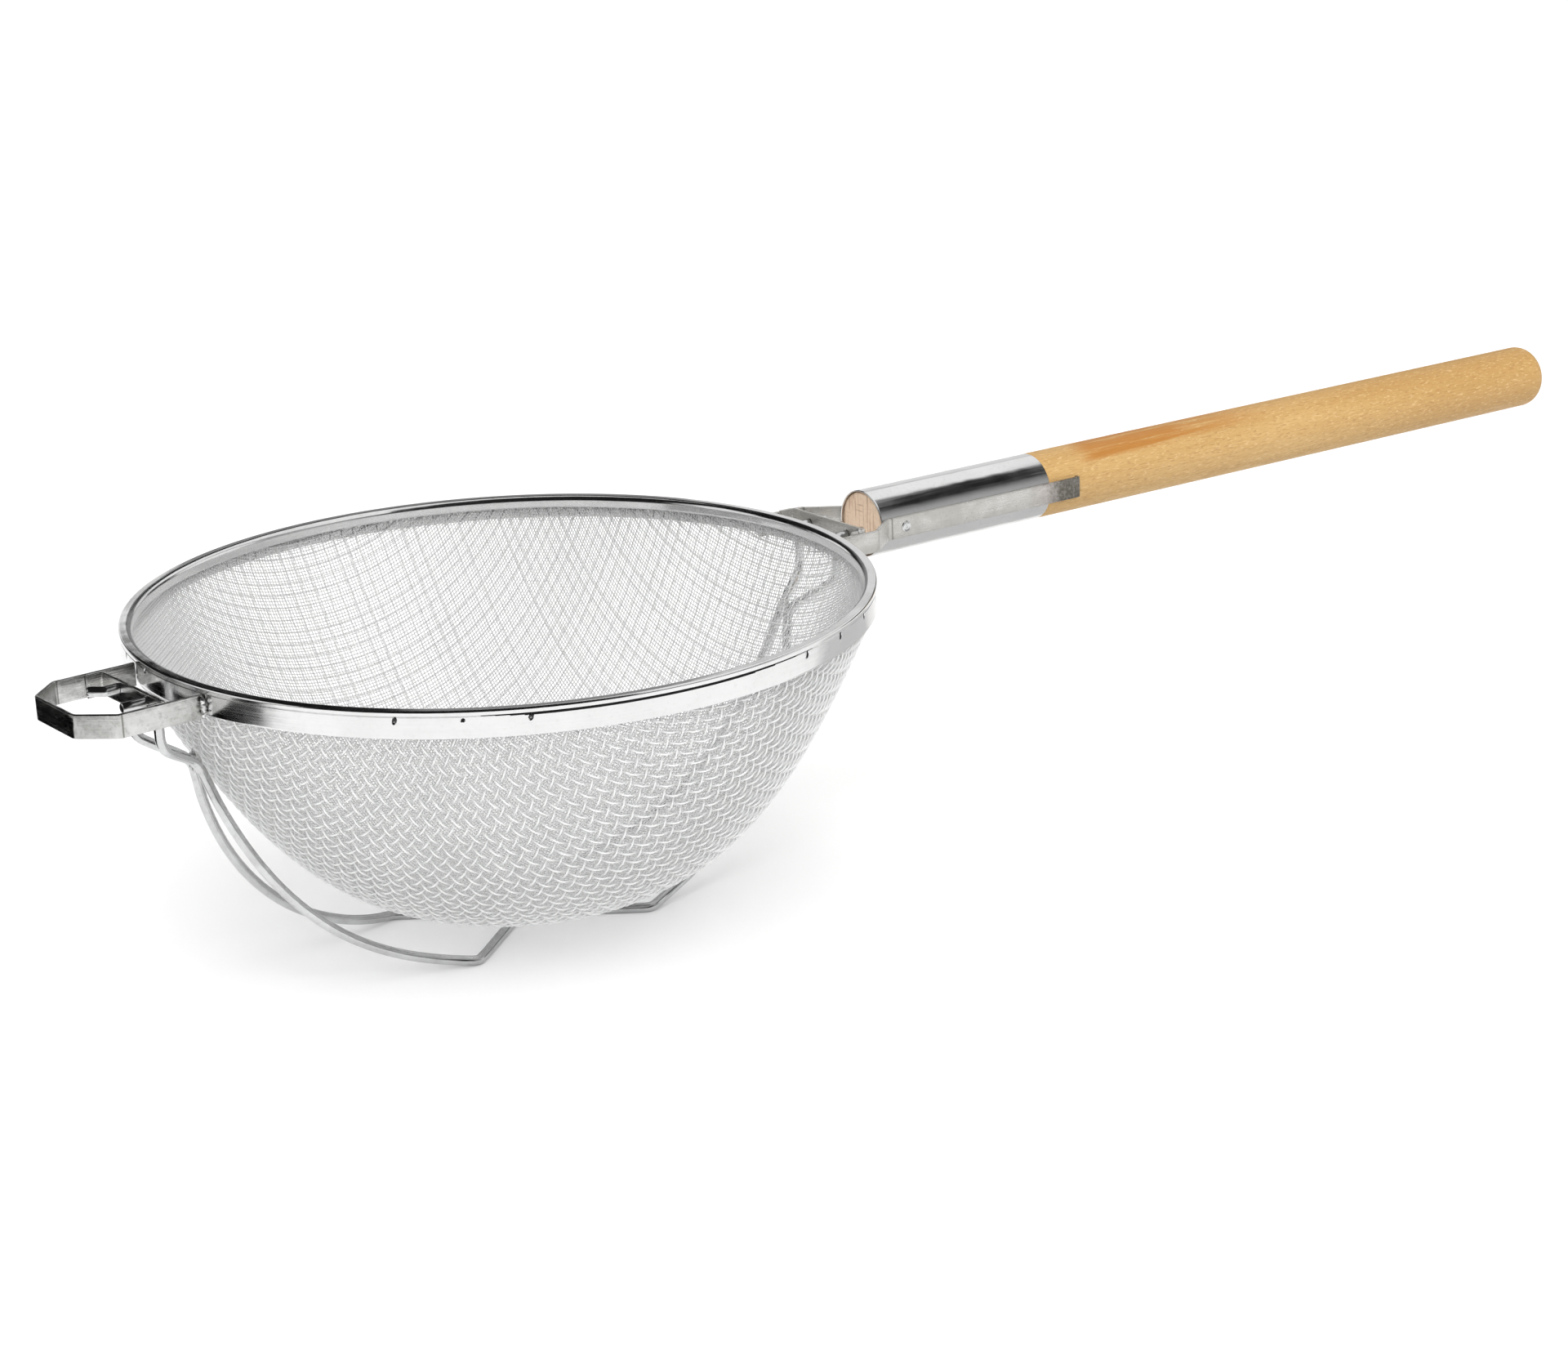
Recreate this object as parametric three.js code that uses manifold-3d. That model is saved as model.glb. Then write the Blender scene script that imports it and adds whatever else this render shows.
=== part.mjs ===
// Bowl strainer: two woven meshes in a rolled rim, a rest hook, a wire cradle
// and a wooden handle in a steel ferrule. Millimetres, +Z up, +X along the handle.
// The origin lies on the standing surface, below the centre of the bowl.
import * as THREE from 'three';
import { mergeVertices } from 'three/addons/utils/BufferGeometryUtils.js';
import Module from 'manifold-3d';

// Clearance between neighbouring pieces
const fitGap = 0.3;

// Rim: one strip folded over a wire
const rimRadius = 130;
const crestHeight = 120;
const rimSheet = 0.5;
const rimWireDiameter = 3;
const bandHeight = 9.2;
const skirtHeight = 5.7;

// Bowl meshes, as thick as their crossed wires, with a grid of openings in place of the weave
const coarseMeshThickness = 1.8;
const fineMeshThickness = 0.7;
const meshOpenings = 12;
const meshBarWidth = 12;
const meshTurn = 3;
const wallLean = 37;
const wallFootHeight = 25;
const bottomRound = 67;
const bowlLean = 2.4;

// Cradle: two wires that cross under the bowl
const cradleWireDiameter = 3.5;
const footFlat = 0.15;
const footX = 36.2;
const footY = 28.7;
const footBend = 4.5;
const crossingHalfLength = 25;
const elbowInset = 8.6;
const elbowDrop = 32.2;
const elbowWireGap = 0.4;
const dropStandOff = 7.6;
const dropLength = 20;
const dropBend = 8;
const plateBend = 1.8;
const runFromElbow = new THREE.Vector3(15.8, -17.9, -64.7);
const runIntoFoot = new THREE.Vector3(-28.2, 10.8, 5);
const hookTail = 9.5;
const forkTail = 7;
const bentTail = 5.5;
const bentTailAngle = 45;

// Flat straps and cross plates
const strapHeight = 8;
const strapThickness = 1.4;
const strapBend = 2;
const plateThickness = 1.2;
const plateTab = 6;
const armSpacing = 46.4;

// Rest hook, measured outwards from the rim
const hookTopDrop = 2.2;
const hookPlateOut = 10.4;
const hookHoleSpacing = 20;
const hookHoleRise = 1;
const hookBendOut = 27.4;
const hookTipOut = 38.2;
const hookTipWidth = 26.4;

// Handle, ferrule and fork, along an axis that droops a little
const handleDroop = 0.9;
const handleAxisDrop = 4.9;
const handleDiameter = 25.2;
const handleLength = 363;
const handleEndRound = 6.5;
const handleInset = 0.8;
const ferruleOut = 28.3;
const ferruleLength = 82;
const ferruleSheet = 0.5;
const forkPlateOut = 13.2;
const forkPlateRise = 0.8;
const forkHoleSpacing = 22.4;
const forkBendOut = 17.2;
const forkSeatInset = 1.5;
const forkOverhang = 13.5;
const prongDepth = 3;
const rivetInset = 10.1;
const rivetShankDiameter = 2.4;
const rivetHeadDiameter = 4.2;
const rivetHeadHeight = 0.6;
const rivetDepth = 6;

// Weld beads where the straps meet the rim
const weldDiameter = 1.8;
const weldLength = 5;

// Facets
const roundSides = 64;
const handleSides = 32;
const wireSides = 8;
const holeSides = 16;
const arcSteps = 6;
const bendSteps = 4;
const runSteps = 12;
const crossingSteps = 10;

// Places that follow from the sizes above
const beadRadius = rimWireDiameter / 2 + fitGap + rimSheet;
const beadCentreRadius = rimRadius - beadRadius;
const beadCentreHeight = crestHeight - beadRadius;
const wireRadius = cradleWireDiameter / 2;
const footHeight = wireRadius - footFlat;
const crossingRise = cradleWireDiameter + fitGap;
const dropEndHeight = crestHeight - hookTopDrop - dropLength;
const bowlBottom = footHeight + crossingRise + wireRadius + fitGap;
const meshRadius = rimRadius - rimSheet - fitGap;
const meshTop = beadCentreHeight - rimWireDiameter / 2 - fitGap;
const bandBottom = crestHeight - bandHeight;
const skirtRadius = meshRadius - coarseMeshThickness - fineMeshThickness - 2 * fitGap - rimSheet;
const armY = armSpacing / 2;
const wireHoleRadius = wireRadius + fitGap;
const hookPlateX = rimRadius + hookPlateOut;
const hookCentreHeight = crestHeight - hookTopDrop - strapHeight / 2;
const hookHoleHeight = hookCentreHeight + hookHoleRise;
const droop = THREE.MathUtils.degToRad(handleDroop);
const handleAxisHeight = crestHeight - handleAxisDrop;
const forkPlateX = rimRadius + forkPlateOut;
const forkHoleHeight = handleAxisHeight + forkPlateRise - forkPlateX * Math.tan(droop);
const handleRadius = handleDiameter / 2;
const tenonRadius = handleRadius - ferruleSheet - fitGap;
const ferruleStart = rimRadius + ferruleOut;
const ferruleEnd = ferruleStart + ferruleLength;
const handleStart = ferruleStart + handleInset;
const handleEnd = handleStart + handleLength;
const seatY = handleRadius + fitGap + strapThickness / 2;
const forkEnd = ferruleEnd + forkOverhang;
const rivetX = ferruleStart + rivetInset;
const rivetHoleRadius = rivetShankDiameter / 2 + fitGap;
const armFaceY = armY + strapThickness / 2;
// The straps end just clear of the rim, at their inner corner
const armEndX = Math.sqrt((rimRadius + fitGap) ** 2 - (armY - strapThickness / 2) ** 2);

const wasm = await Module();
wasm.setup();

const colours = { steel: 0xc4c6c8, mesh: 0xd0d2d4, wood: 0xd9a766 };

function steel(roughness = 0.22) {
  return new THREE.MeshStandardMaterial({ color: colours.steel, roughness, metalness: 1 });
}

function meshSteel() {
  return new THREE.MeshStandardMaterial({ color: colours.mesh, roughness: 0.3, metalness: 1 });
}

function wood() {
  return new THREE.MeshStandardMaterial({ color: colours.wood, roughness: 0.6, metalness: 0 });
}

function piece(name, geometry, material) {
  const mesh = new THREE.Mesh(geometry, material);
  mesh.name = name;
  return mesh;
}

// Closed solids in and out of the boolean library

function toSolid(geometry) {
  const bare = geometry.clone();
  bare.deleteAttribute('normal');
  bare.deleteAttribute('uv');
  const merged = mergeVertices(bare, 1e-4);
  const index = merged.index.array;
  const kept = [];
  for (let i = 0; i < index.length; i += 3) {
    const [a, b, c] = [index[i], index[i + 1], index[i + 2]];
    if (a !== b && b !== c && c !== a) kept.push(a, b, c);
  }
  return new wasm.Manifold(new wasm.Mesh({
    numProp: 3,
    vertProperties: Float32Array.from(merged.attributes.position.array),
    triVerts: Uint32Array.from(kept),
  }));
}

function toGeometry(solid) {
  const mesh = solid.getMesh();
  const geometry = new THREE.BufferGeometry();
  geometry.setAttribute('position', new THREE.BufferAttribute(mesh.vertProperties, 3));
  geometry.setIndex(new THREE.BufferAttribute(mesh.triVerts, 1));
  geometry.computeVertexNormals();
  return geometry;
}

function cut(geometry, cutters) {
  let solid = toSolid(geometry);
  for (const cutter of cutters) solid = solid.subtract(toSolid(cutter));
  return toGeometry(solid);
}

// Shared shapes

// Turns a profile of [radius, height] points about Z
function turnZ(profile, sides = roundSides) {
  const points = profile.map(([r, z]) => new THREE.Vector2(r, z));
  return new THREE.LatheGeometry(points, sides).rotateX(Math.PI / 2);
}

// Turns a profile of [radius, distance] points about X
function turnX(profile, sides = handleSides) {
  const points = profile.map(([r, x]) => new THREE.Vector2(r, x));
  return new THREE.LatheGeometry(points, sides).rotateZ(-Math.PI / 2);
}

function arc(centre, radius, from, to, steps = arcSteps) {
  const points = [];
  for (let i = 0; i <= steps; i++) {
    const angle = from + (to - from) * i / steps;
    points.push([centre[0] + radius * Math.cos(angle), centre[1] + radius * Math.sin(angle)]);
  }
  return points;
}

// Rounds the corners of a line of points with short curves; a point may carry its own bend
function roundCorners(points, radius) {
  const sharp = 0.25;
  const line = [points[0]];
  for (let i = 1; i < points.length - 1; i++) {
    const corner = points[i];
    const back = points[i - 1].clone().sub(corner);
    const ahead = points[i + 1].clone().sub(corner);
    const room = 0.45 * Math.min(back.length(), ahead.length());
    back.normalize();
    ahead.normalize();
    const turn = Math.PI - back.angleTo(ahead);
    if (turn < sharp) {
      line.push(corner);
      continue;
    }
    const reach = Math.min((corner.bend ?? radius) * Math.tan(turn / 2), room);
    const start = corner.clone().addScaledVector(back, reach);
    const end = corner.clone().addScaledVector(ahead, reach);
    line.push(...new THREE.QuadraticBezierCurve3(start, corner, end).getPoints(bendSteps));
  }
  line.push(points[points.length - 1]);
  return line;
}

// A flat strip on edge: a centre line seen from above, given thickness and height
function strip(corners, thickness, bend) {
  const points = corners.map(([x, y]) => new THREE.Vector3(x, y, 0));
  const line = roundCorners(points, bend);
  const left = [];
  const right = [];
  line.forEach((point, i) => {
    const back = line[Math.max(i - 1, 0)];
    const ahead = line[Math.min(i + 1, line.length - 1)];
    const into = point.clone().sub(back).normalize();
    const out = ahead.clone().sub(point).normalize();
    const along = into.clone().add(out).normalize();
    const lean = Math.max(along.dot(into.lengthSq() > 0 ? into : out), 0.5);
    const half = thickness / 2 / lean;
    left.push(new THREE.Vector2(point.x - along.y * half, point.y + along.x * half));
    right.push(new THREE.Vector2(point.x + along.y * half, point.y - along.x * half));
  });
  const shape = new THREE.Shape([...left, ...right.reverse()]);
  const geometry = new THREE.ExtrudeGeometry(shape, { depth: strapHeight, bevelEnabled: false });
  return geometry.translate(0, 0, -strapHeight / 2);
}

function holeAlongX(x, y, z, radius, length) {
  const hole = new THREE.CylinderGeometry(radius, radius, length, holeSides);
  return hole.rotateZ(Math.PI / 2).translate(x, y, z);
}

function holeAlongY(x, y, z, radius, length) {
  const hole = new THREE.CylinderGeometry(radius, radius, length, holeSides);
  return hole.translate(x, y, z);
}

// A path that is stepped along exactly at its points, so that tight bends keep their shape
class WirePath extends THREE.Curve {
  constructor(points) {
    super();
    this.points = points;
  }

  getPointAt(share, target = new THREE.Vector3()) {
    return target.copy(this.points[Math.round(share * (this.points.length - 1))]);
  }

  getTangentAt(share, target = new THREE.Vector3()) {
    const last = this.points.length - 1;
    const i = Math.round(share * last);
    const into = this.points[i].clone().sub(this.points[Math.max(i - 1, 0)]).normalize();
    const out = this.points[Math.min(i + 1, last)].clone().sub(this.points[i]).normalize();
    return target.addVectors(into, out).normalize();
  }
}

function roundWire(points) {
  const section = arc([0, 0], wireRadius, 0, 2 * Math.PI, wireSides).slice(0, -1);
  const shape = new THREE.Shape(section.map(([x, y]) => new THREE.Vector2(x, y)));
  const extrudePath = new WirePath(points);
  return new THREE.ExtrudeGeometry(shape, { extrudePath, steps: points.length - 1 });
}

// Bowl: the outer face of the coarse mesh, from its bottom to its hem in the rim

const bowlCurve = new THREE.CubicBezierCurve(
  new THREE.Vector2(0, bowlBottom),
  new THREE.Vector2(bottomRound, bowlBottom),
  new THREE.Vector2(meshRadius - wallLean, bowlBottom + wallFootHeight),
  new THREE.Vector2(meshRadius, bandBottom),
);

// A point of the bowl at a share of the way up to the hem, moved inwards by a depth
function bowlPoint(share, angle, depth) {
  const point = bowlCurve.getPointAt(share);
  const along = bowlCurve.getTangentAt(share);
  const height = point.y + along.x * depth;
  const radius = point.x - along.y * depth;
  // the bowl sags a little towards the handle, more so lower down
  const drop = THREE.MathUtils.clamp((bandBottom - height) / (bandBottom - bowlBottom), 0, 1);
  const sag = bowlLean * Math.sin(Math.PI / 2 * drop);
  return [radius * Math.cos(angle) + sag, radius * Math.sin(angle), height];
}

// Edges of the openings across the bowl, from -1 at one side of the hem to 1 at the other
function openingEdges() {
  const bar = meshBarWidth / bowlCurve.getLength();
  const opening = (2 - (meshOpenings - 1) * bar) / meshOpenings;
  const edges = [];
  for (let i = 0; i < meshOpenings; i++) {
    const start = -1 + i * (opening + bar);
    edges.push(start, start + opening);
  }
  return edges;
}

// A mesh: a square grid of bars drawn out to the round hem, which the rim holds
function meshBowl(depth, thickness) {
  const edges = openingEdges();
  const count = edges.length;
  const last = count - 1;
  const turn = THREE.MathUtils.degToRad(meshTurn);
  const depths = [depth, depth + thickness];
  const points = [];
  const triangles = [];
  const quad = (a, b, c, d) => triangles.push(a, b, c, a, c, d);
  const at = (i, j, side) => (i * count + j) * 2 + side;

  for (const u of edges) {
    for (const v of edges) {
      const x = u * Math.sqrt(1 - v * v / 2);
      const y = v * Math.sqrt(1 - u * u / 2);
      const share = Math.min(Math.hypot(x, y), 1);
      for (const moved of depths) points.push(...bowlPoint(share, Math.atan2(y, x) + turn, moved));
    }
  }

  // every other strip each way is open, apart from the narrow cells in the four corners
  const isOpen = (i, j) => {
    if (i < 0 || j < 0 || i >= last || j >= last) return false;
    const corner = (i === 0 || i === last - 1) && (j === 0 || j === last - 1);
    return i % 2 === 0 && j % 2 === 0 && !corner;
  };
  const wall = (a, b) => quad(at(...a, 0), at(...b, 0), at(...b, 1), at(...a, 1));
  for (let i = 0; i < last; i++) {
    for (let j = 0; j < last; j++) {
      if (isOpen(i, j)) continue;
      const corners = [[i, j], [i + 1, j], [i + 1, j + 1], [i, j + 1]];
      const beyond = [[i, j - 1], [i + 1, j], [i, j + 1], [i - 1, j]];
      const [a, b, c, d] = corners.map((corner) => at(...corner, 0));
      quad(a + 1, b + 1, c + 1, d + 1);
      quad(a, d, c, b);
      beyond.forEach((cell, k) => {
        if (isOpen(...cell)) wall(corners[k], corners[(k + 1) % 4]);
      });
    }
  }

  // the hem runs up from the grid's edge to the top
  const border = [];
  for (let i = 0; i < last; i++) border.push([i, 0, i, 0]);
  for (let j = 0; j < last; j++) border.push([last, j, last - 1, j]);
  for (let i = last; i > 0; i--) border.push([i, last, i - 1, last - 1]);
  for (let j = last; j > 0; j--) border.push([0, j, 0, j - 1]);
  const hem = points.length / 3;
  for (const [i, j] of border) {
    for (const side of [0, 1]) {
      const [x, y] = points.slice(at(i, j, side) * 3, at(i, j, side) * 3 + 2);
      points.push(x, y, meshTop);
    }
  }
  border.forEach(([i, j, cellI, cellJ], k) => {
    const next = (k + 1) % border.length;
    const [nextI, nextJ] = border[next];
    const [low, lowNext] = [at(i, j, 0), at(nextI, nextJ, 0)];
    const [top, topNext] = [hem + 2 * k, hem + 2 * next];
    quad(top + 1, topNext + 1, lowNext + 1, low + 1);
    quad(top, low, lowNext, topNext);
    quad(top, topNext, topNext + 1, top + 1);
    if (isOpen(cellI, cellJ)) wall([nextI, nextJ], [i, j]);
  });

  const geometry = new THREE.BufferGeometry();
  geometry.setAttribute('position', new THREE.Float32BufferAttribute(points, 3));
  geometry.setIndex(triangles);
  geometry.computeVertexNormals();
  return geometry;
}

function rimBand() {
  const bead = [beadCentreRadius, beadCentreHeight];
  const skirtBottom = crestHeight - skirtHeight;
  const profile = [
    [rimRadius, bandBottom],
    ...arc(bead, beadRadius, 0, Math.PI),
    [skirtRadius, skirtBottom],
    [skirtRadius + rimSheet, skirtBottom],
    ...arc(bead, beadRadius - rimSheet, Math.PI, 0),
    [rimRadius - rimSheet, bandBottom],
    [rimRadius, bandBottom],
  ];
  return turnZ(profile);
}

function rimWire() {
  const ring = new THREE.TorusGeometry(beadCentreRadius, rimWireDiameter / 2, wireSides, roundSides);
  return ring.translate(0, 0, beadCentreHeight);
}

// Cradle wire: from a plate hole, down past the rim, in to the elbow, down to a foot

function cradleHalf(hole, tail, side) {
  const holeY = -side * hole.spacing / 2;
  const drop = new THREE.Vector3(-(rimRadius + dropStandOff), holeY, hole.height);
  const dropEnd = drop.clone();
  dropEnd.z = dropEndHeight;
  drop.bend = plateBend;
  const elbowY = (cradleWireDiameter + elbowWireGap) / 2;
  const elbow = new THREE.Vector3(-(rimRadius - elbowInset), -side * elbowY, crestHeight - elbowDrop);
  const foot = new THREE.Vector3(-footX, -side * footY, footHeight);
  foot.bend = footBend;
  const flip = new THREE.Vector3(1, side, 1);
  const run = new THREE.CubicBezierCurve3(
    elbow,
    elbow.clone().add(runFromElbow.clone().multiply(flip)),
    foot.clone().add(runIntoFoot.clone().multiply(flip)),
    foot,
  );
  const end = new THREE.Vector3(-(hole.x + tail), holeY, hole.height);
  return [end, drop, dropEnd, ...run.getPoints(runSteps).slice(0, -1), foot];
}

function turnedAbout(points) {
  for (const point of points) point.set(-point.x, -point.y, point.z);
  return points.reverse();
}

// side 1 starts at the hook's -Y hole; rise lifts the wire over the other at the crossing
function cradleWire(side, rise, tailBend) {
  const hookHole = { x: hookPlateX, spacing: hookHoleSpacing, height: hookHoleHeight };
  const forkHole = { x: forkPlateX, spacing: forkHoleSpacing, height: forkHoleHeight };
  const front = cradleHalf(hookHole, hookTail, side);
  const back = turnedAbout(cradleHalf(forkHole, forkTail, side));
  if (tailBend) {
    const angle = THREE.MathUtils.degToRad(bentTailAngle);
    const corner = front[0].clone();
    corner.x += bentTail * Math.cos(angle);
    const reach = new THREE.Vector3(-Math.cos(angle), -side * Math.sin(angle), 0);
    front.splice(0, 1, corner.clone().addScaledVector(reach, bentTail), corner);
  }
  const foot = front[front.length - 1];
  const flat = Math.hypot(footX, footY);
  const crossing = [];
  for (let i = 0; i <= crossingSteps; i++) {
    const along = crossingHalfLength * (2 * i / crossingSteps - 1);
    const lift = rise * Math.cos(Math.PI * along / crossingHalfLength / 2) ** 2;
    const share = along / flat;
    crossing.push(new THREE.Vector3(-foot.x * share, -foot.y * share, footHeight + lift));
  }
  const line = roundCorners([...front, ...crossing, ...back], dropBend);
  const reach = 4 * rimRadius;
  const ground = new THREE.BoxGeometry(reach, reach, wireRadius).translate(0, 0, -wireRadius / 2);
  return cut(roundWire(line), [ground]);
}

// Rest hook

function hookStrap() {
  const bendX = rimRadius + hookBendOut;
  const tipX = rimRadius + hookTipOut;
  const tipY = hookTipWidth / 2;
  const corners = [
    [-armEndX, -armY], [-bendX, -armY], [-tipX, -tipY],
    [-tipX, tipY], [-bendX, armY], [-armEndX, armY],
  ];
  return strip(corners, strapThickness, strapBend);
}

// A cross plate between two arms, with a wire hole near each end and tabs along the arms
function crossPlate(x, tabTo, holeSpacing, holeRise) {
  const tabY = armY - strapThickness / 2 - fitGap - plateThickness / 2;
  const corners = [[tabTo, -tabY], [x, -tabY], [x, tabY], [tabTo, tabY]];
  const plate = strip(corners, plateThickness, strapBend);
  const holeLength = 4 * plateThickness;
  const holes = [-1, 1].map((side) => (
    holeAlongX(x, side * holeSpacing / 2, holeRise, wireHoleRadius, holeLength)
  ));
  return cut(plate, holes);
}

// A bead of weld in the corner between a strap and the rim
function weld(direction, side) {
  const radius = weldDiameter / 2;
  const y = armFaceY + fitGap + radius;
  const x = Math.sqrt((rimRadius + fitGap + radius) ** 2 - y ** 2);
  const bead = new THREE.CapsuleGeometry(radius, weldLength, bendSteps, wireSides);
  return bead.rotateX(Math.PI / 2).translate(direction * x, side * y, 0);
}

// Fork, ferrule and handle, about the handle's own axis

function forkArm(side) {
  const seatX = ferruleStart + forkSeatInset;
  const prongY = handleRadius - prongDepth;
  const corners = [
    [armEndX, side * armY], [rimRadius + forkBendOut, side * armY],
    [seatX, side * seatY], [forkEnd, side * seatY], [forkEnd, side * prongY],
  ];
  const arm = strip(corners, strapThickness, strapBend);
  return cut(arm, [holeAlongY(rivetX, side * seatY, 0, rivetHoleRadius, 4 * strapThickness)]);
}

function ferrule() {
  const inner = handleRadius - ferruleSheet;
  const tube = turnX([
    [inner, ferruleStart], [handleRadius, ferruleStart],
    [handleRadius, ferruleEnd], [inner, ferruleEnd], [inner, ferruleStart],
  ]);
  return cut(tube, [holeAlongY(rivetX, 0, 0, rivetHoleRadius, 2 * handleDiameter)]);
}

function handle() {
  const shoulder = ferruleEnd + fitGap;
  const endCentre = [handleRadius - handleEndRound, handleEnd - handleEndRound];
  const body = turnX([
    [0, handleStart], [tenonRadius, handleStart], [tenonRadius, shoulder],
    [handleRadius, shoulder], ...arc(endCentre, handleEndRound, 0, Math.PI / 2), [0, handleEnd],
  ]);
  const slotDepth = handleRadius - prongDepth - fitGap;
  const slotStart = forkEnd - strapThickness / 2 - strapBend - fitGap;
  const slotEnd = forkEnd + strapThickness / 2 + fitGap;
  const cutters = [];
  for (const side of [-1, 1]) {
    const slot = new THREE.BoxGeometry(slotEnd - slotStart, handleRadius, strapHeight + 2 * fitGap);
    slot.translate((slotStart + slotEnd) / 2, side * (slotDepth + handleRadius / 2), 0);
    const pilotDepth = rivetDepth + fitGap;
    const pilotY = tenonRadius - pilotDepth + handleRadius / 2;
    cutters.push(slot, holeAlongY(rivetX, side * pilotY, 0, rivetHoleRadius, handleRadius));
  }
  return cut(body, cutters);
}

function rivet(side) {
  const shank = rivetShankDiameter / 2;
  const head = rivetHeadDiameter / 2;
  const tip = tenonRadius - rivetDepth;
  const seat = seatY + strapThickness / 2 + fitGap;
  const crown = seat + rivetHeadHeight;
  const points = [
    [0, tip], [shank, tip], [shank, seat], [head, seat],
    [head, seat + rivetHeadHeight / 2], [head / 2, crown], [0, crown],
  ].map(([r, y]) => new THREE.Vector2(r, y));
  const geometry = new THREE.LatheGeometry(points, holeSides);
  if (side < 0) geometry.rotateX(Math.PI);
  return geometry.translate(rivetX, 0, 0);
}

// Assembly

const strainer = new THREE.Group();

strainer.add(
  piece('outer_mesh', meshBowl(0, coarseMeshThickness), meshSteel()),
  piece('inner_mesh', meshBowl(coarseMeshThickness + fitGap, fineMeshThickness), meshSteel()),
  piece('rim_band', rimBand(), steel(0.12)),
  piece('rim_wire', rimWire(), steel(0.4)),
  piece('cradle_wire_lower', cradleWire(1, 0, false), steel()),
  piece('cradle_wire_upper', cradleWire(-1, crossingRise, true), steel()),
);

const hook = new THREE.Group();
hook.position.z = hookCentreHeight;
const hookTabX = -(hookPlateX + plateTab);
hook.add(
  piece('hook_strap', hookStrap(), steel()),
  piece('hook_plate', crossPlate(-hookPlateX, hookTabX, hookHoleSpacing, hookHoleRise), steel()),
  piece('hook_weld_left', weld(-1, 1), steel(0.4)),
  piece('hook_weld_right', weld(-1, -1), steel(0.4)),
);

const forkPlate = crossPlate(forkPlateX, forkPlateX - plateTab, forkHoleSpacing, 0);
forkPlate.translate(0, 0, forkPlateRise);

const handleAssembly = new THREE.Group();
handleAssembly.position.z = handleAxisHeight;
handleAssembly.rotation.y = droop;
handleAssembly.add(
  piece('fork_arm_left', forkArm(1), steel()),
  piece('fork_arm_right', forkArm(-1), steel()),
  piece('fork_plate', forkPlate, steel()),
  piece('fork_weld_left', weld(1, 1), steel(0.4)),
  piece('fork_weld_right', weld(1, -1), steel(0.4)),
  piece('ferrule', ferrule(), steel(0.15)),
  piece('handle', handle(), wood()),
  piece('fork_rivet_left', rivet(1), steel(0.3)),
  piece('fork_rivet_right', rivet(-1), steel(0.3)),
);

strainer.add(hook, handleAssembly);

export default strainer;
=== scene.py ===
import math

import bpy
import numpy as np
from mathutils import Matrix, Vector, noise


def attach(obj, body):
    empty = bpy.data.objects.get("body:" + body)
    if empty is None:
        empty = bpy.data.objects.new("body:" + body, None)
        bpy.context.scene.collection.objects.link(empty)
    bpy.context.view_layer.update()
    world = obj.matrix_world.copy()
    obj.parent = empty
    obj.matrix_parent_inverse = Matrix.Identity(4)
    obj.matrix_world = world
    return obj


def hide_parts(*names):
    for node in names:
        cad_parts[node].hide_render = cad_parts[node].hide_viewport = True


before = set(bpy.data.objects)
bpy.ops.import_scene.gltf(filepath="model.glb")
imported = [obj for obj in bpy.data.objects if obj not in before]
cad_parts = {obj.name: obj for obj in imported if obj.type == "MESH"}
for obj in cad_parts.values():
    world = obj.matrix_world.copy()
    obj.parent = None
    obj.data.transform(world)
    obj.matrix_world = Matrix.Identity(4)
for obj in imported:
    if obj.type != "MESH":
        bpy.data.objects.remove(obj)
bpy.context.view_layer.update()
mm = 0.001  # sizes below are in millimetres unless a note says metres
scene = bpy.context.scene
scene.view_settings.view_transform = "Standard"


def addObject(name, data):
    made = bpy.data.objects.new(name, data)
    scene.collection.objects.link(made)
    return made


# Camera, fitted to the rim, the feet and the handle
cameraFit = {
    "eye": (-0.6080, -0.9901, 0.4580),  # metres
    "nearest": 0.05,  # metres
    "lens": 80.35,
    "sensor": 36,
    "azimuth": -36.321,
    "elevation": 17.827,
    "roll": -2.47,
}


def placeCamera(fit):
    turn, rise, roll = (math.radians(fit[name]) for name in ("azimuth", "elevation", "roll"))
    back = Vector((math.sin(turn) * math.cos(rise), -math.cos(turn) * math.cos(rise), math.sin(rise)))
    level = Vector((math.cos(turn), math.sin(turn), 0))
    steep = back.cross(level)
    right = level * math.cos(roll) + steep * math.sin(roll)
    top = steep * math.cos(roll) - level * math.sin(roll)
    lens = bpy.data.cameras.new("photoCamera")
    lens.lens = fit["lens"]
    lens.sensor_width = fit["sensor"]
    lens.sensor_fit = "HORIZONTAL"
    lens.clip_start = fit["nearest"]
    viewer = addObject("photoCamera", lens)
    place = Matrix((right, top, back)).transposed().to_4x4()
    place.translation = Vector(fit["eye"])
    viewer.matrix_world = place
    scene.camera = viewer


placeCamera(cameraFit)
print("camera placed")


# Node helpers; an input is a plain value, or the socket that it is linked to

def fillInputs(tree, node, inputs):
    for key, value in inputs.items():
        socket = node.inputs[key]
        if isinstance(value, bpy.types.NodeSocket):
            tree.links.new(value, socket)
        else:
            socket.default_value = (*value, 1) if socket.type == "RGBA" else value


def addNode(tree, kind, inputs=None, **settings):
    made = tree.nodes.new("ShaderNode" + kind)
    for key, value in settings.items():
        setattr(made, key, value)
    fillInputs(tree, made, inputs or {})
    return made


def addMath(tree, operation, *values, clamp=False):
    return addNode(tree, "Math", dict(enumerate(values)), operation=operation, use_clamp=clamp).outputs[0]


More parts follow.
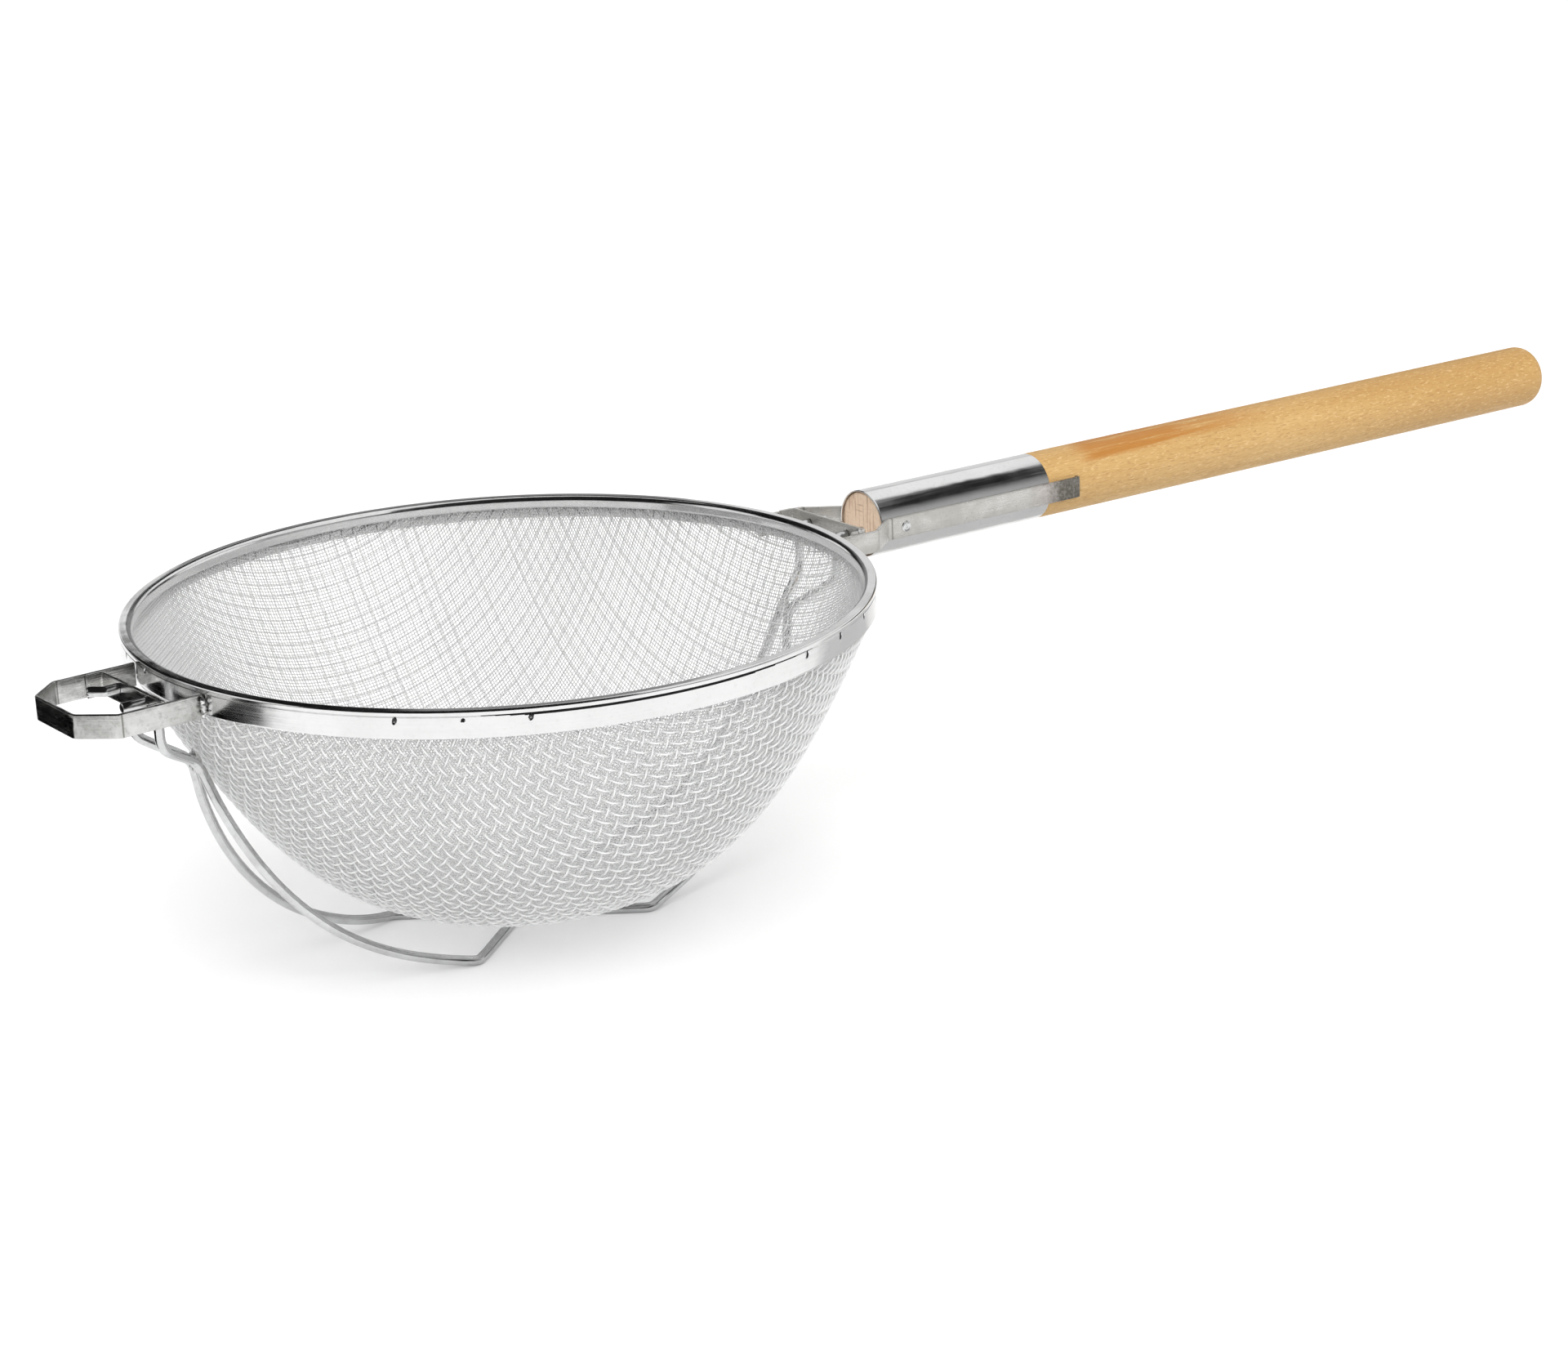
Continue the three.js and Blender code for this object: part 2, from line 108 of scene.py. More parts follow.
def addRange(tree, value, low, high, bottom=0.0, top=1.0, kind="LINEAR"):
    inputs = {"Value": value, "From Min": low, "From Max": high, "To Min": bottom, "To Max": top}
    return addNode(tree, "MapRange", inputs, interpolation_type=kind).outputs[0]


def addNoise(tree, place, scale, detail, roughness, distortion=0.0):
    inputs = {"Vector": place, "Scale": scale, "Detail": detail, "Roughness": roughness}
    return addNode(tree, "TexNoise", {**inputs, "Distortion": distortion}).outputs[0]


def addMix(tree, share, under, over):
    return addNode(tree, "Mix", {0: share, 6: under, 7: over}, data_type="RGBA").outputs[2]


def addBump(tree, strength, distance, inputs):
    return addNode(tree, "Bump", {"Strength": strength, "Distance": distance, **inputs}).outputs[0]


def splitXyz(tree, vector):
    return addNode(tree, "SeparateXYZ", {0: vector}).outputs


def objectPlace(tree):
    return addNode(tree, "TexCoord").outputs["Object"]


def newGroup(name, inputs, outputs):
    tree = bpy.data.node_groups.new(name, "ShaderNodeTree")
    for way, labels in (("INPUT", inputs), ("OUTPUT", outputs)):
        for label in labels:
            tree.interface.new_socket(label, in_out=way, socket_type="NodeSocketFloat")
    return tree, tree.nodes.new("NodeGroupInput").outputs, tree.nodes.new("NodeGroupOutput")


def placeGroup(tree, group, **inputs):
    return addNode(tree, "Group", inputs, node_tree=group).outputs


def newFinish(name, inputs=None):
    finish = bpy.data.materials.new(name)
    finish.use_nodes = True
    tree = finish.node_tree
    tree.nodes.clear()
    shader = addNode(tree, "BsdfPrincipled", inputs)
    addNode(tree, "OutputMaterial", {0: shader.outputs[0]})
    return finish, tree, shader


# Fine lines along a drawn or rolled piece, read from its own lay of length and girth
def drawnLinesGroup():
    tree, given, out = newGroup("drawnLines", ["Along", "Across"], ["Lines"])
    lay = splitXyz(tree, addNode(tree, "UVMap", uv_map="lay").outputs[0])
    along = addMath(tree, "MULTIPLY", lay[0], given["Along"])
    across = addMath(tree, "MULTIPLY", lay[1], given["Across"])
    joined = addNode(tree, "CombineXYZ", {0: along, 1: across})
    grain = addNoise(tree, joined.outputs[0], 1.0, 3.0, 0.6)
    fillInputs(tree, out, {"Lines": addRange(tree, grain, 0.3, 0.7)})
    return tree


# Dull patches and small stains from handling and tinning
def tarnishGroup():
    tree, given, out = newGroup("tarnish", ["Patch", "Speck"], ["Dull", "Specks"])
    place = objectPlace(tree)
    patch = addNoise(tree, place, given["Patch"], 4.0, 0.55, 0.6)
    speck = addNoise(tree, place, given["Speck"], 2.0, 0.5)
    fillInputs(tree, out, {"Dull": addRange(tree, patch, 0.35, 0.68),
                           "Specks": addRange(tree, speck, 0.55, 0.75)})
    return tree


# Slow waves of a sheet that was rolled or bent by hand
def waveGroup():
    tree, given, out = newGroup("sheetWaves", ["Size"], ["Height"])
    fillInputs(tree, out, {"Height": addNoise(tree, objectPlace(tree), given["Size"], 2.0, 0.4)})
    return tree


# Scorched and pickled metal towards a weld or a driven end, and painted dark reflection towards the hook's
# tip, ragged at its edge and mottled
def burntGroup():
    tree, given, out = newGroup("burntEnd", ["Clear", "Burnt"], ["Mask"])
    ragged = 0.012  # metres
    place = objectPlace(tree)
    cloud = addNoise(tree, place, 420.0, 3.0, 0.6)
    shift = addMath(tree, "MULTIPLY_ADD", cloud, ragged, splitXyz(tree, place)[0])
    centred = addMath(tree, "SUBTRACT", shift, ragged / 2)
    reach = addRange(tree, centred, given["Clear"], given["Burnt"], kind="SMOOTHSTEP")
    mottle = addRange(tree, addNoise(tree, place, 900.0, 2.0, 0.6), 0.35, 0.6, 0.72)
    fillInputs(tree, out, {"Mask": addMath(tree, "MULTIPLY", reach, mottle)})
    return tree


# Dirt and painted shade in a bend, a thin dark line at one place along the part
def bendGrimeGroup():
    tree, given, out = newGroup("bendGrime", ["Place"], ["Mask"])
    clean, full = 0.00045, 0.0001  # metres from the bend
    away = addMath(tree, "SUBTRACT", splitXyz(tree, objectPlace(tree))[0], given["Place"])
    fillInputs(tree, out, {"Mask": addRange(tree, addMath(tree, "ABSOLUTE", away), clean, full)})
    return tree


drawnLines = drawnLinesGroup()
tarnish = tarnishGroup()
sheetWaves = waveGroup()
burntEnd = burntGroup()
bendGrime = bendGrimeGroup()

# Lay of lines, patches and waves of both strips
stripLay = {
    "along": 0.04, "across": 2.2, "patch": 110.0, "speck": 900.0, "waves": 160.0, "waveHeight": 0.08,
    "lineHeight": 0.08,
}
# Colours, the range of roughness, the lay of lines, patches and waves of each look; a dark end has the
# places in metres where it is clear and full, its strength and its tint; the hook's second dark end is
# painted dark reflection at its tip, the others are scorched metal
metalLooks = {
    "tinnedSheet": {
        "light": (0.86, 0.86, 0.86), "dull": (0.75, 0.75, 0.745), "rough": (0.07, 0.17), "dullRough": 0.10,
        "along": 0.03, "across": 1.6, "patch": 35.0, "speck": 700.0,
        "waves": 55.0, "waveHeight": 0.10, "lineHeight": 0.006,
    },
    "hookStrip": {
        "light": (0.74, 0.74, 0.73), "dull": (0.42, 0.415, 0.40), "rough": (0.10, 0.24), "dullRough": 0.08,
        **stripLay, "creases": [-0.1565],
        # the second dark end is painted dark reflection towards the hook's tip
        "heatTintAndShade": [(-0.139, -0.128, 0.55, (0.10, 0.10, 0.085)), (-0.1545, -0.1660, 0.45, (0.16, 0.16, 0.15))],
    },
    "forkStrip": {
        "light": (0.60, 0.59, 0.565), "dull": (0.46, 0.45, 0.415), "rough": (0.18, 0.32), "dullRough": 0.12,
        **stripLay, "metal": 0.65, "creases": [0.1482, 0.1617],
        "heatTintAndShade": [(0.139, 0.130, 0.45, (0.10, 0.10, 0.085)), (0.225, 0.240, 0.40, (0.30, 0.215, 0.20)),
                  (0.235, 0.246, 0.92, (0.085, 0.08, 0.06))],
    },
    "drawnWire": {
        "light": (0.74, 0.745, 0.75), "dull": (0.50, 0.50, 0.495), "rough": (0.08, 0.20), "dullRough": 0.10,
        "along": 0.05, "across": 1.4, "patch": 90.0, "speck": 900.0,
        "waves": 120.0, "waveHeight": 0.05, "lineHeight": 0.04,
    },
    "solder": {
        "light": (0.90, 0.90, 0.895), "dull": (0.55, 0.55, 0.545), "rough": (0.16, 0.30), "dullRough": 0.10,
        "along": 0.3, "across": 0.6, "patch": 400.0, "speck": 1500.0,
        "waves": 900.0, "waveHeight": 0.25, "lineHeight": 0.0,
    },
}
# Shares of lines, wear and stains in the tint, the dirt and painted shade in bends,
# and the depth of relief in metres
metalWear = {
    "lines": 0.35, "worn": 0.45, "stained": 0.55, "crease": 0.75, "creaseGrimeShadeTint": (0.12, 0.115, 0.10),
    "waveDeep": 0.004, "lineDeep": 0.0004,
}


def metalFinish(name, look):
    finish, tree, shader = newFinish(name, {"Metallic": look.get("metal", 1.0)})
    wear = metalWear
    lines = placeGroup(tree, drawnLines, Along=look["along"], Across=look["across"])["Lines"]
    stains = placeGroup(tree, tarnish, Patch=look["patch"], Speck=look["speck"])
    waves = placeGroup(tree, sheetWaves, Size=look["waves"])["Height"]
    worn = addMath(tree, "MULTIPLY_ADD", lines, wear["lines"], stains["Specks"], clamp=True)
    stained = addMath(tree, "MULTIPLY", stains["Dull"], wear["stained"])
    faded = addMath(tree, "MULTIPLY_ADD", worn, wear["worn"], stained, clamp=True)
    colour = addMix(tree, faded, look["light"], look["dull"])
    marks = [(placeGroup(tree, burntEnd, Clear=clear, Burnt=heatTintAndShade), strength, shade)
             for clear, heatTintAndShade, strength, shade in look.get("heatTintAndShade", [])]
    # a thin dark line of dirt and painted shade in each bend
    marks += [(placeGroup(tree, bendGrime, Place=place), wear["crease"], wear["creaseGrimeShadeTint"])
              for place in look.get("creases", [])]
    for mark, strength, shade in marks:
        colour = addMix(tree, addMath(tree, "MULTIPLY", mark["Mask"], strength), colour, shade)
    gloss = addRange(tree, lines, 0.0, 1.0, *look["rough"])
    rough = addMath(tree, "MULTIPLY_ADD", stains["Dull"], look["dullRough"], gloss)
    swell = addBump(tree, look["waveHeight"], wear["waveDeep"], {"Height": waves})
    groove = addBump(tree, look["lineHeight"], wear["lineDeep"], {"Height": lines, "Normal": swell})
    fillInputs(tree, shader, {"Base Color": colour, "Roughness": rough, "Normal": groove})
    return finish


tinnedSheet, hookStrip, forkStrip, drawnWire, solder = (metalFinish(*item) for item in metalLooks.items())

# Woven wire: bright on the crests that face out, with painted shade making the hollows of the weave duller,
# so that the crests show as painted highlights
clothLooks = {
    "coarseWire": {
        "light": (1.0, 1.0, 1.0), "dull": (0.96, 0.96, 0.96), "recessShade": (0.60, 0.60, 0.60), "rough": 0.3,
        "metal": 0.0, "patch": 30.0, "speck": 500.0,
    },
    "fineWire": {
        "light": (0.98, 0.98, 0.98), "dull": (0.92, 0.92, 0.92), "recessShade": (0.64, 0.64, 0.64), "rough": 0.22,
        "metal": 0.48, "patch": 30.0, "speck": 500.0,
    },
}


def clothFinish(name, look):
    finish, tree, shader = newFinish(name, {"Metallic": look["metal"], "Roughness": look["rough"]})
    stains = placeGroup(tree, tarnish, Patch=look["patch"], Speck=look["speck"])
    weave = splitXyz(tree, addNode(tree, "UVMap", uv_map="weave").outputs[0])
    tint = addMix(tree, stains["Dull"], look["light"], look["dull"])
    # painted shade: the weave map darkens the hollows of the outer side to the recess shade
    fillInputs(tree, shader, {"Base Color": addMix(tree, weave[0], look["recessShade"], tint)})
    return finish


coarseWire, fineWire = (clothFinish(*item) for item in clothLooks.items())

# A near-black finish of painted shade for the crimps under the bead and the fold along the near side
grimeLook = {"Base Color": (0.012, 0.012, 0.012), "Roughness": 0.7, "Specular IOR Level": 0.1}
grime = newFinish("crimpAndFoldShade", grimeLook)[0]
print("metal finishes made")


# The fork, ferrule and handle lie about an axis that droops a little
handleAxis = {"height": 115.1, "droop": 0.9}

# Beech: warm tan, short dark flecks along the grain, an orange streak behind the ferrule, pale end grain;
# places are in metres, from where a mask is clear to where it is full
beechLook = {
    "pale": (0.655, 0.432, 0.179), "deep": (0.455, 0.25, 0.069), "fleck": (0.34, 0.165, 0.05),
    "ray": (0.76, 0.55, 0.29), "streak": (0.43, 0.17, 0.02), "endPale": (0.92, 0.71, 0.53),
    "endDark": (0.40, 0.20, 0.10), "rough": (0.45, 0.62), "relief": (0.25, 0.0003),
    "towardEnd": (0.36, 0.47), "upper": (0.1195, 0.1275), "front": (0.1602, 0.1598),
    "streakStart": (0.255, 0.268), "streakEnd": (0.375, 0.30), "streakSide": (0.1178, 0.1198),
}


def beechFinish(look):
    finish, tree, shader = newFinish("beech")
    place = objectPlace(tree)
    x, _, z = splitXyz(tree, place)

    def grain(scale, detail, low, high, turn=0.0):
        turned = (math.radians(turn), 0, 0)
        stretch = addNode(tree, "Mapping", {"Vector": place, "Scale": scale, "Rotation": turned})
        return addRange(tree, addNoise(tree, stretch.outputs[0], 1.0, detail, 0.55), low, high)

    def ramp(value, name):
        return addRange(tree, value, *look[name], kind="SMOOTHSTEP")

    # each layer is a tint, its mask and its share
    def layered(colour, layers):
        for tint, mask, share in layers:
            colour = addMix(tree, addMath(tree, "MULTIPLY", mask, share), colour, look[tint])
        return colour

    # painted shade darkens the upper side; the handle's droop is taken out of its height
    level = addMath(tree, "MULTIPLY_ADD", x, math.tan(math.radians(handleAxis["droop"])), z)
    fibres = grain((110, 1700, 1700), 2.0, 0.35, 0.65)
    # the streak lies along the top, just behind the ferrule, with a ragged edge
    streak = ramp(z, "streakSide")
    for mask in (ramp(x, "streakStart"), ramp(x, "streakEnd"), grain((30, 480, 480), 3.0, 0.32, 0.50)):
        streak = addMath(tree, "MULTIPLY", streak, mask)
    colour = layered(look["pale"], [
        ("deep", grain((6, 55, 55), 2.0, 0.38, 0.66), 0.30),
        ("deep", grain((14, 190, 190), 3.0, 0.32, 0.68), 0.40),
        ("deep", fibres, 0.28),
        ("deep", ramp(x, "towardEnd"), 0.55),
        # painted shade on the upper side
        ("deep", ramp(level, "upper"), 0.35),
        ("ray", grain((420, 1500, 1500), 1.0, 0.58, 0.70), 0.45),
        ("fleck", grain((330, 1900, 1900), 1.0, 0.56, 0.68), 0.38),
        ("streak", streak, 0.92),
    ])
    # end grain with saw marks both ways and fine checks
    endColour = layered(look["endPale"], [
        ("endDark", grain((0, 1100, 60), 2.0, 0.53, 0.64, 32), 0.5),
        ("endDark", grain((0, 70, 620), 1.0, 0.60, 0.68, 20), 0.55),
        ("endDark", grain((900, 900, 900), 2.0, 0.45, 0.7), 0.18),
    ])
    fillInputs(tree, shader, {
        "Base Color": addMix(tree, addRange(tree, x, *look["front"]), colour, endColour),
        "Roughness": addRange(tree, fibres, 0.0, 1.0, *look["rough"]),
        "Normal": addBump(tree, *look["relief"], {"Height": fibres}),
    })
    return finish


beech = beechFinish(beechLook)
print("beech made")


# Shapes

def runningLength(line):
    steps = np.linalg.norm(np.diff(line, axis=0), axis=1)
    return np.concatenate([[0.0], np.cumsum(steps)])


def unit(vectors):
    return vectors / np.maximum(np.linalg.norm(vectors, axis=-1, keepdims=True), 1e-12)


def roundAngles(count):
    return np.arange(count) * 2 * math.pi / count


# A curve from a to d, drawn towards b and c
def curveAt(t, a, b, c, d):
    return (1 - t) ** 3 * a + 3 * t * (1 - t) ** 2 * b + 3 * t**2 * (1 - t) * c + t**3 * d


# Rounds the corners of a line; a corner may carry its own bend as a fourth number
def bendLine(corners, bend, steps, slight=0.25):
    points = [np.array(corner[:3], float) for corner in corners]
    bends = [corner[3] if len(corner) > 3 else bend for corner in corners]
    line = [points[0]]
    for i in range(1, len(points) - 1):
        back = points[i - 1] - points[i]
        ahead = points[i + 1] - points[i]
        room = 0.45 * min(np.linalg.norm(back), np.linalg.norm(ahead))
        back, ahead = unit(back), unit(ahead)
        turn = math.pi - math.acos(max(-1.0, min(1.0, float(back @ ahead))))
        if turn < slight:
            line.append(points[i])
            continue
        reach = min(bends[i] * math.tan(turn / 2), room)
        start = points[i] + back * reach
        end = points[i] + ahead * reach
        for t in np.linspace(0, 1, steps + 1):
            line.append((1 - t) ** 2 * start + 2 * t * (1 - t) * points[i] + t * t * end)
    line.append(points[-1])
    return np.array(line)


# Puts more points on a line, on a smooth curve through those it has
def smoothLine(line, share=3):
    gaps = np.linalg.norm(np.diff(line, axis=0), axis=1)
    line = line[np.concatenate([[True], gaps > 1e-6])]
    slope = np.zeros_like(line)
    h = np.diff(runningLength(line))[:, None]
    rise = np.diff(line, axis=0) / h
    slope[1:-1] = (rise[:-1] * h[1:] + rise[1:] * h[:-1]) / (h[1:] + h[:-1])
    slope[0], slope[-1] = rise[0], rise[-1]
    made = []
    for i in range(len(line) - 1):
        for t in np.arange(share) / share:
            a = 2 * t**3 - 3 * t**2 + 1
            b = t**3 - 2 * t**2 + t
            c = -2 * t**3 + 3 * t**2
            d = t**3 - t**2
            made.append(a * line[i] + b * h[i] * slope[i] + c * line[i + 1] + d * h[i] * slope[i + 1])
    made.append(line[-1])
    return np.array(made)


def placePiece(name, mesh, finish, node):
    mesh.materials.append(finish)
    piece = addObject(name, mesh)
    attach(piece, "root")
    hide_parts(node)
    return piece


# Faces and lay of a grid of points, rows along the piece and columns round it
def gridFaces(grid, closeRows=False):
    rows, columns = grid.shape[:2]
    girth = runningLength(grid[rows // 2, np.arange(columns + 1) % columns])
    length = runningLength(grid[np.arange(rows + 1) % rows, 0] if closeRows else grid.mean(axis=1))
    faces, lay = [], []
    for i in range(len(length) - 1):
        near, far = i * columns, (i + 1) % rows * columns
        for j in range(columns):
            k = (j + 1) % columns
            faces.append((near + j, near + k, far + k, far + j))
            lay += [(length[i], girth[j]), (length[i], girth[j + 1]),
                    (length[i + 1], girth[j + 1]), (length[i + 1], girth[j])]
    if not closeRows:
        faces += [tuple(range(columns))[::-1], tuple(range((rows - 1) * columns, rows * columns))]
        lay += [(0.0, girth[j]) for j in reversed(range(columns))]
        lay += [(length[-1], girth[j]) for j in range(columns)]
    return faces, lay


def addGrid(name, grid, finish, node, sharpAngle=40, closeRows=False):
    faces, lay = gridFaces(grid, closeRows)
    mesh = bpy.data.meshes.new(name)
    mesh.from_pydata((grid.reshape(-1, 3) * mm).tolist(), [], faces)
    mesh.uv_layers.new(name="lay").data.foreach_set("uv", np.array(lay, np.float32).ravel())
    mesh.polygons.foreach_set("use_smooth", [True] * len(faces))
    mesh.update()
    mesh.set_sharp_from_angle(angle=math.radians(sharpAngle))
    return placePiece(name, mesh, finish, node)


# A round wire along a line, with slightly rounded cut ends
def wireGrid(line, radius, sides=20, endRound=0.25):
    ends = [(0.0, 0.72), (0.35, 0.93), (1.0, 1.0)]
    way = unit(np.diff(line, axis=0))
    rows = [(line[0] + way[0] * endRound * share, size) for share, size in ends]
    rows += [(point, 1.0) for point in line[1:-1]]
    rows += [(line[-1] - way[-1] * endRound * share, size) for share, size in reversed(ends)]
    centres = np.array([row[0] for row in rows])
    sizes = np.array([row[1] for row in rows]) * radius
    tangents = unit(np.gradient(centres, axis=0))
    side = np.cross(tangents[0], (0.0, 0.0, 1.0))
    if np.linalg.norm(side) < 0.1:
        side = np.cross(tangents[0], (0.0, 1.0, 0.0))
    grid = []
    angles = roundAngles(sides)
    for centre, tangent, size in zip(centres, tangents, sizes):
        side = unit(side - tangent * (side @ tangent))
        other = np.cross(tangent, side)
        grid.append(centre + size * (np.outer(np.cos(angles), side) + np.outer(np.sin(angles), other)))
    return np.array(grid)


# A flat strip on edge along a plan line, with its edges eased
def stripGrid(line, thickness, height, ease=0.3, easeSteps=3):
    section = []
    half, tall = thickness / 2 - ease, height / 2 - ease
    for quarter, (x, z) in enumerate(((half, tall), (-half, tall), (-half, -tall), (half, -tall))):
        for t in np.linspace(0, math.pi / 2, easeSteps + 1):
            angle = quarter * math.pi / 2 + t
            section.append((x + ease * math.cos(angle), z + ease * math.sin(angle)))
    section = np.array(section)
    into = unit(np.diff(line, axis=0, prepend=2 * line[:1] - line[1:2]))
    out = unit(np.diff(line, axis=0, append=2 * line[-1:] - line[-2:-1]))
    along = unit(into + out)
    lean = np.maximum(np.sum(along * into, axis=1), 0.5)
    left = np.stack([-along[:, 1], along[:, 0], np.zeros(len(line))], axis=1) / lean[:, None]
    up = np.array((0.0, 0.0, 1.0))
    return line[:, None, :] + left[:, None, :] * section[None, :, :1] + up * section[None, :, 1:]


def addStrip(name, line, thickness, height, finish, node, move):
    return addGrid(name, move(stripGrid(line, thickness, height)), finish, node)


# A profile of radius and height turned about the upright axis, one row for each angle
def turnedGrid(profile, angles):
    radius, height = np.array(profile, float).T
    cos, sin = np.cos(angles)[:, None], np.sin(angles)[:, None]
    return np.stack([cos * radius, sin * radius, 0 * cos + height], axis=-1)


def arcLine(centre, radius, start, end, steps):
    angles = np.radians(np.linspace(start, end, steps + 1))
    return [(centre[0] + radius * math.cos(a), centre[1] + radius * math.sin(a)) for a in angles]


# Turns the fork, ferrule and handle to the handle's axis
def onHandleAxis(points):
    droop = math.radians(handleAxis["droop"])
    x, y, z = points[..., 0], points[..., 1], points[..., 2]
    turned = [x * math.cos(droop) + z * math.sin(droop), y, z * math.cos(droop) - x * math.sin(droop)]
    return np.stack(turned, axis=-1) + (0, 0, handleAxis["height"])


# Woven cloth: a net of equal cells pressed into the bowl, so its cells shear towards the corners
bowl = {
    "bottom": 7.45, "foot": 67.0, "wallFoot": (92.2, 32.45), "wallTop": (129.2, 110.8), "meshTop": 115.9,
    "lean": 2.4, "turn": 3.0, "netDepth": 1.6, "netCell": 2.3, "netCells": 86, "above": 150.0, "spread": 0.3,
}


# The bowl's line, carried on straight up so that the net can pass the rim, and its inward normal
def bowlProfile():
    t = np.linspace(0, 1, 700)[:, None]
    a = np.array((0.0, bowl["bottom"]))
    b = np.array((bowl["foot"], bowl["bottom"]))
    c, d = np.array(bowl["wallFoot"]), np.array(bowl["wallTop"])
    line = curveAt(t, a, b, c, d)
    rise = np.linspace(d[1], d[1] + bowl["above"], 200)[1:]
    line = np.vstack([line, np.column_stack([np.full(len(rise), d[0]), rise])])
    tangent = unit(np.gradient(line, axis=0))
    inward = np.column_stack([-tangent[:, 1], tangent[:, 0]])
    return line + inward * bowl["netDepth"], inward


bowlLine, bowlInward = bowlProfile()
bowlReach = runningLength(bowlLine)


# A point of the bowl from its place on the flattened bowl, or with bowlInward its normal
def onBowl(flat, table=bowlLine):
    reach = np.hypot(flat[..., 0], flat[..., 1])
    safe = np.maximum(reach, 1e-9)
    out = np.interp(reach, bowlReach, table[:, 0])
    up = np.interp(reach, bowlReach, table[:, 1])
    return np.stack([flat[..., 0] / safe * out, flat[..., 1] / safe * out, up], axis=-1)


# Nodes of one quarter: each lies one cell from its two neighbours nearer the middle
def clothQuarter():
    cell, count = bowl["netCell"], bowl["netCells"]
    nudge, tiny = 1e-3, 1e-9
    net = np.zeros((count + 1, count + 1, 2))
    axis = [0.0]
    for _ in range(count):
        last = onBowl(np.array((axis[-1], 0.0)))
        low, high = axis[-1], axis[-1] + 2 * cell
        for _ in range(30):
            middle = (low + high) / 2
            near = np.linalg.norm(onBowl(np.array((middle, 0.0))) - last) < cell
            low, high = (middle, high) if near else (low, middle)
        axis.append((low + high) / 2)
    net[:, 0, 0] = axis
    net[0, :, 1] = axis
    for row in range(2, 2 * count + 1):
        i = np.arange(max(1, row - count), min(count, row - 1) + 1)
        j = row - i
        first, second = net[i - 1, j], net[i, j - 1]
        placeA, placeB = onBowl(first), onBowl(second)
        flat = first + second - net[i - 1, j - 1]
        for _ in range(7):
            here = onBowl(flat)
            stepX = (onBowl(flat + (nudge, 0)) - here) / nudge
            stepY = (onBowl(flat + (0, nudge)) - here) / nudge
            missA = np.sum((here - placeA) ** 2, axis=-1) - cell**2
            missB = np.sum((here - placeB) ** 2, axis=-1) - cell**2
            ax, ay = (2 * np.sum((here - placeA) * step, axis=-1) for step in (stepX, stepY))
            bx, by = (2 * np.sum((here - placeB) * step, axis=-1) for step in (stepX, stepY))
            size = ax * by - ay * bx
            size = np.where(np.abs(size) < tiny, tiny, size)
            move = np.stack([(missB * ay - missA * by) / size, (missA * bx - missB * ax) / size], axis=-1)
            longest = np.maximum(np.linalg.norm(move, axis=-1, keepdims=True) / cell, 1.0)
            flat = flat + move / longest
        net[i, j] = flat
    return net


def clothNet():
    quarter = clothQuarter()
    count = bowl["netCells"]
    net = np.zeros((2 * count + 1, 2 * count + 1, 2))
    steps = np.arange(count + 1)
    for sx in (1, -1):
        for sy in (1, -1):
            net[np.ix_(count + sx * steps, count + sy * steps)] = quarter * (sx, sy)
    turn = math.radians(bowl["turn"])
    cos, sin = math.cos(turn), math.sin(turn)
    x, y = net[..., 0], net[..., 1]
    return np.stack([x * cos - y * sin, x * sin + y * cos], axis=-1)


clothPlaces = clothNet()
print("cloth net made", clothPlaces.shape)


def clothAt(a, b):
    count = bowl["netCells"]
    u, v = (np.clip(way / bowl["netCell"] + count, 0, 2 * count - 1e-6) for way in (a, b))
    i, j = u.astype(int), v.astype(int)
    p, q = (u - i)[..., None], (v - j)[..., None]
    low = clothPlaces[i, j] * (1 - q) + clothPlaces[i, j + 1] * q
    high = clothPlaces[i + 1, j] * (1 - q) + clothPlaces[i + 1, j + 1] * q
    return low * (1 - p) + high * p


# Centre lines of all wires of one direction, over and under the wires that cross them
def clothWires(cloth, direction):
    pitch, steps = cloth["pitch"], cloth["steps"]
    count = int(cloth["reach"] / pitch)
    wires = np.arange(-count, count + 1)
    samples = np.arange(-count * steps, count * steps + 1)
    rng = np.random.default_rng(cloth["seed"] + direction)
    drift = rng.normal(0, cloth["uneven"] * pitch, len(wires))
    across = (wires * pitch + drift)[:, None] + np.zeros(len(samples))
    along = np.zeros(len(wires))[:, None] + samples * pitch / steps
    flat = clothAt(across, along) if direction == 0 else clothAt(along, across)
    over = np.where((wires + direction) % 2 == 0, 1.0, -1.0)
    crest = np.cos(samples / steps * math.pi)[None, :] * over[:, None]
    lift = cloth["depth"] - bowl["netDepth"] + crest * cloth["wire"] / 2
    normals = onBowl(flat, bowlInward)
    points = onBowl(flat) + normals * lift[..., None]
    share = np.clip((bowl["wallTop"][1] - points[..., 2]) / (bowl["wallTop"][1] - bowl["bottom"]), 0, 1)
    points[..., 0] += bowl["lean"] * np.sin(math.pi / 2 * share)
    inside = points[..., 2] < bowl["meshTop"]
    # the last value is the weave's painted shade, 0 where a wire dips into a hollow of the outer side
    return points, inside, normals, 0.5 - 0.5 * crest


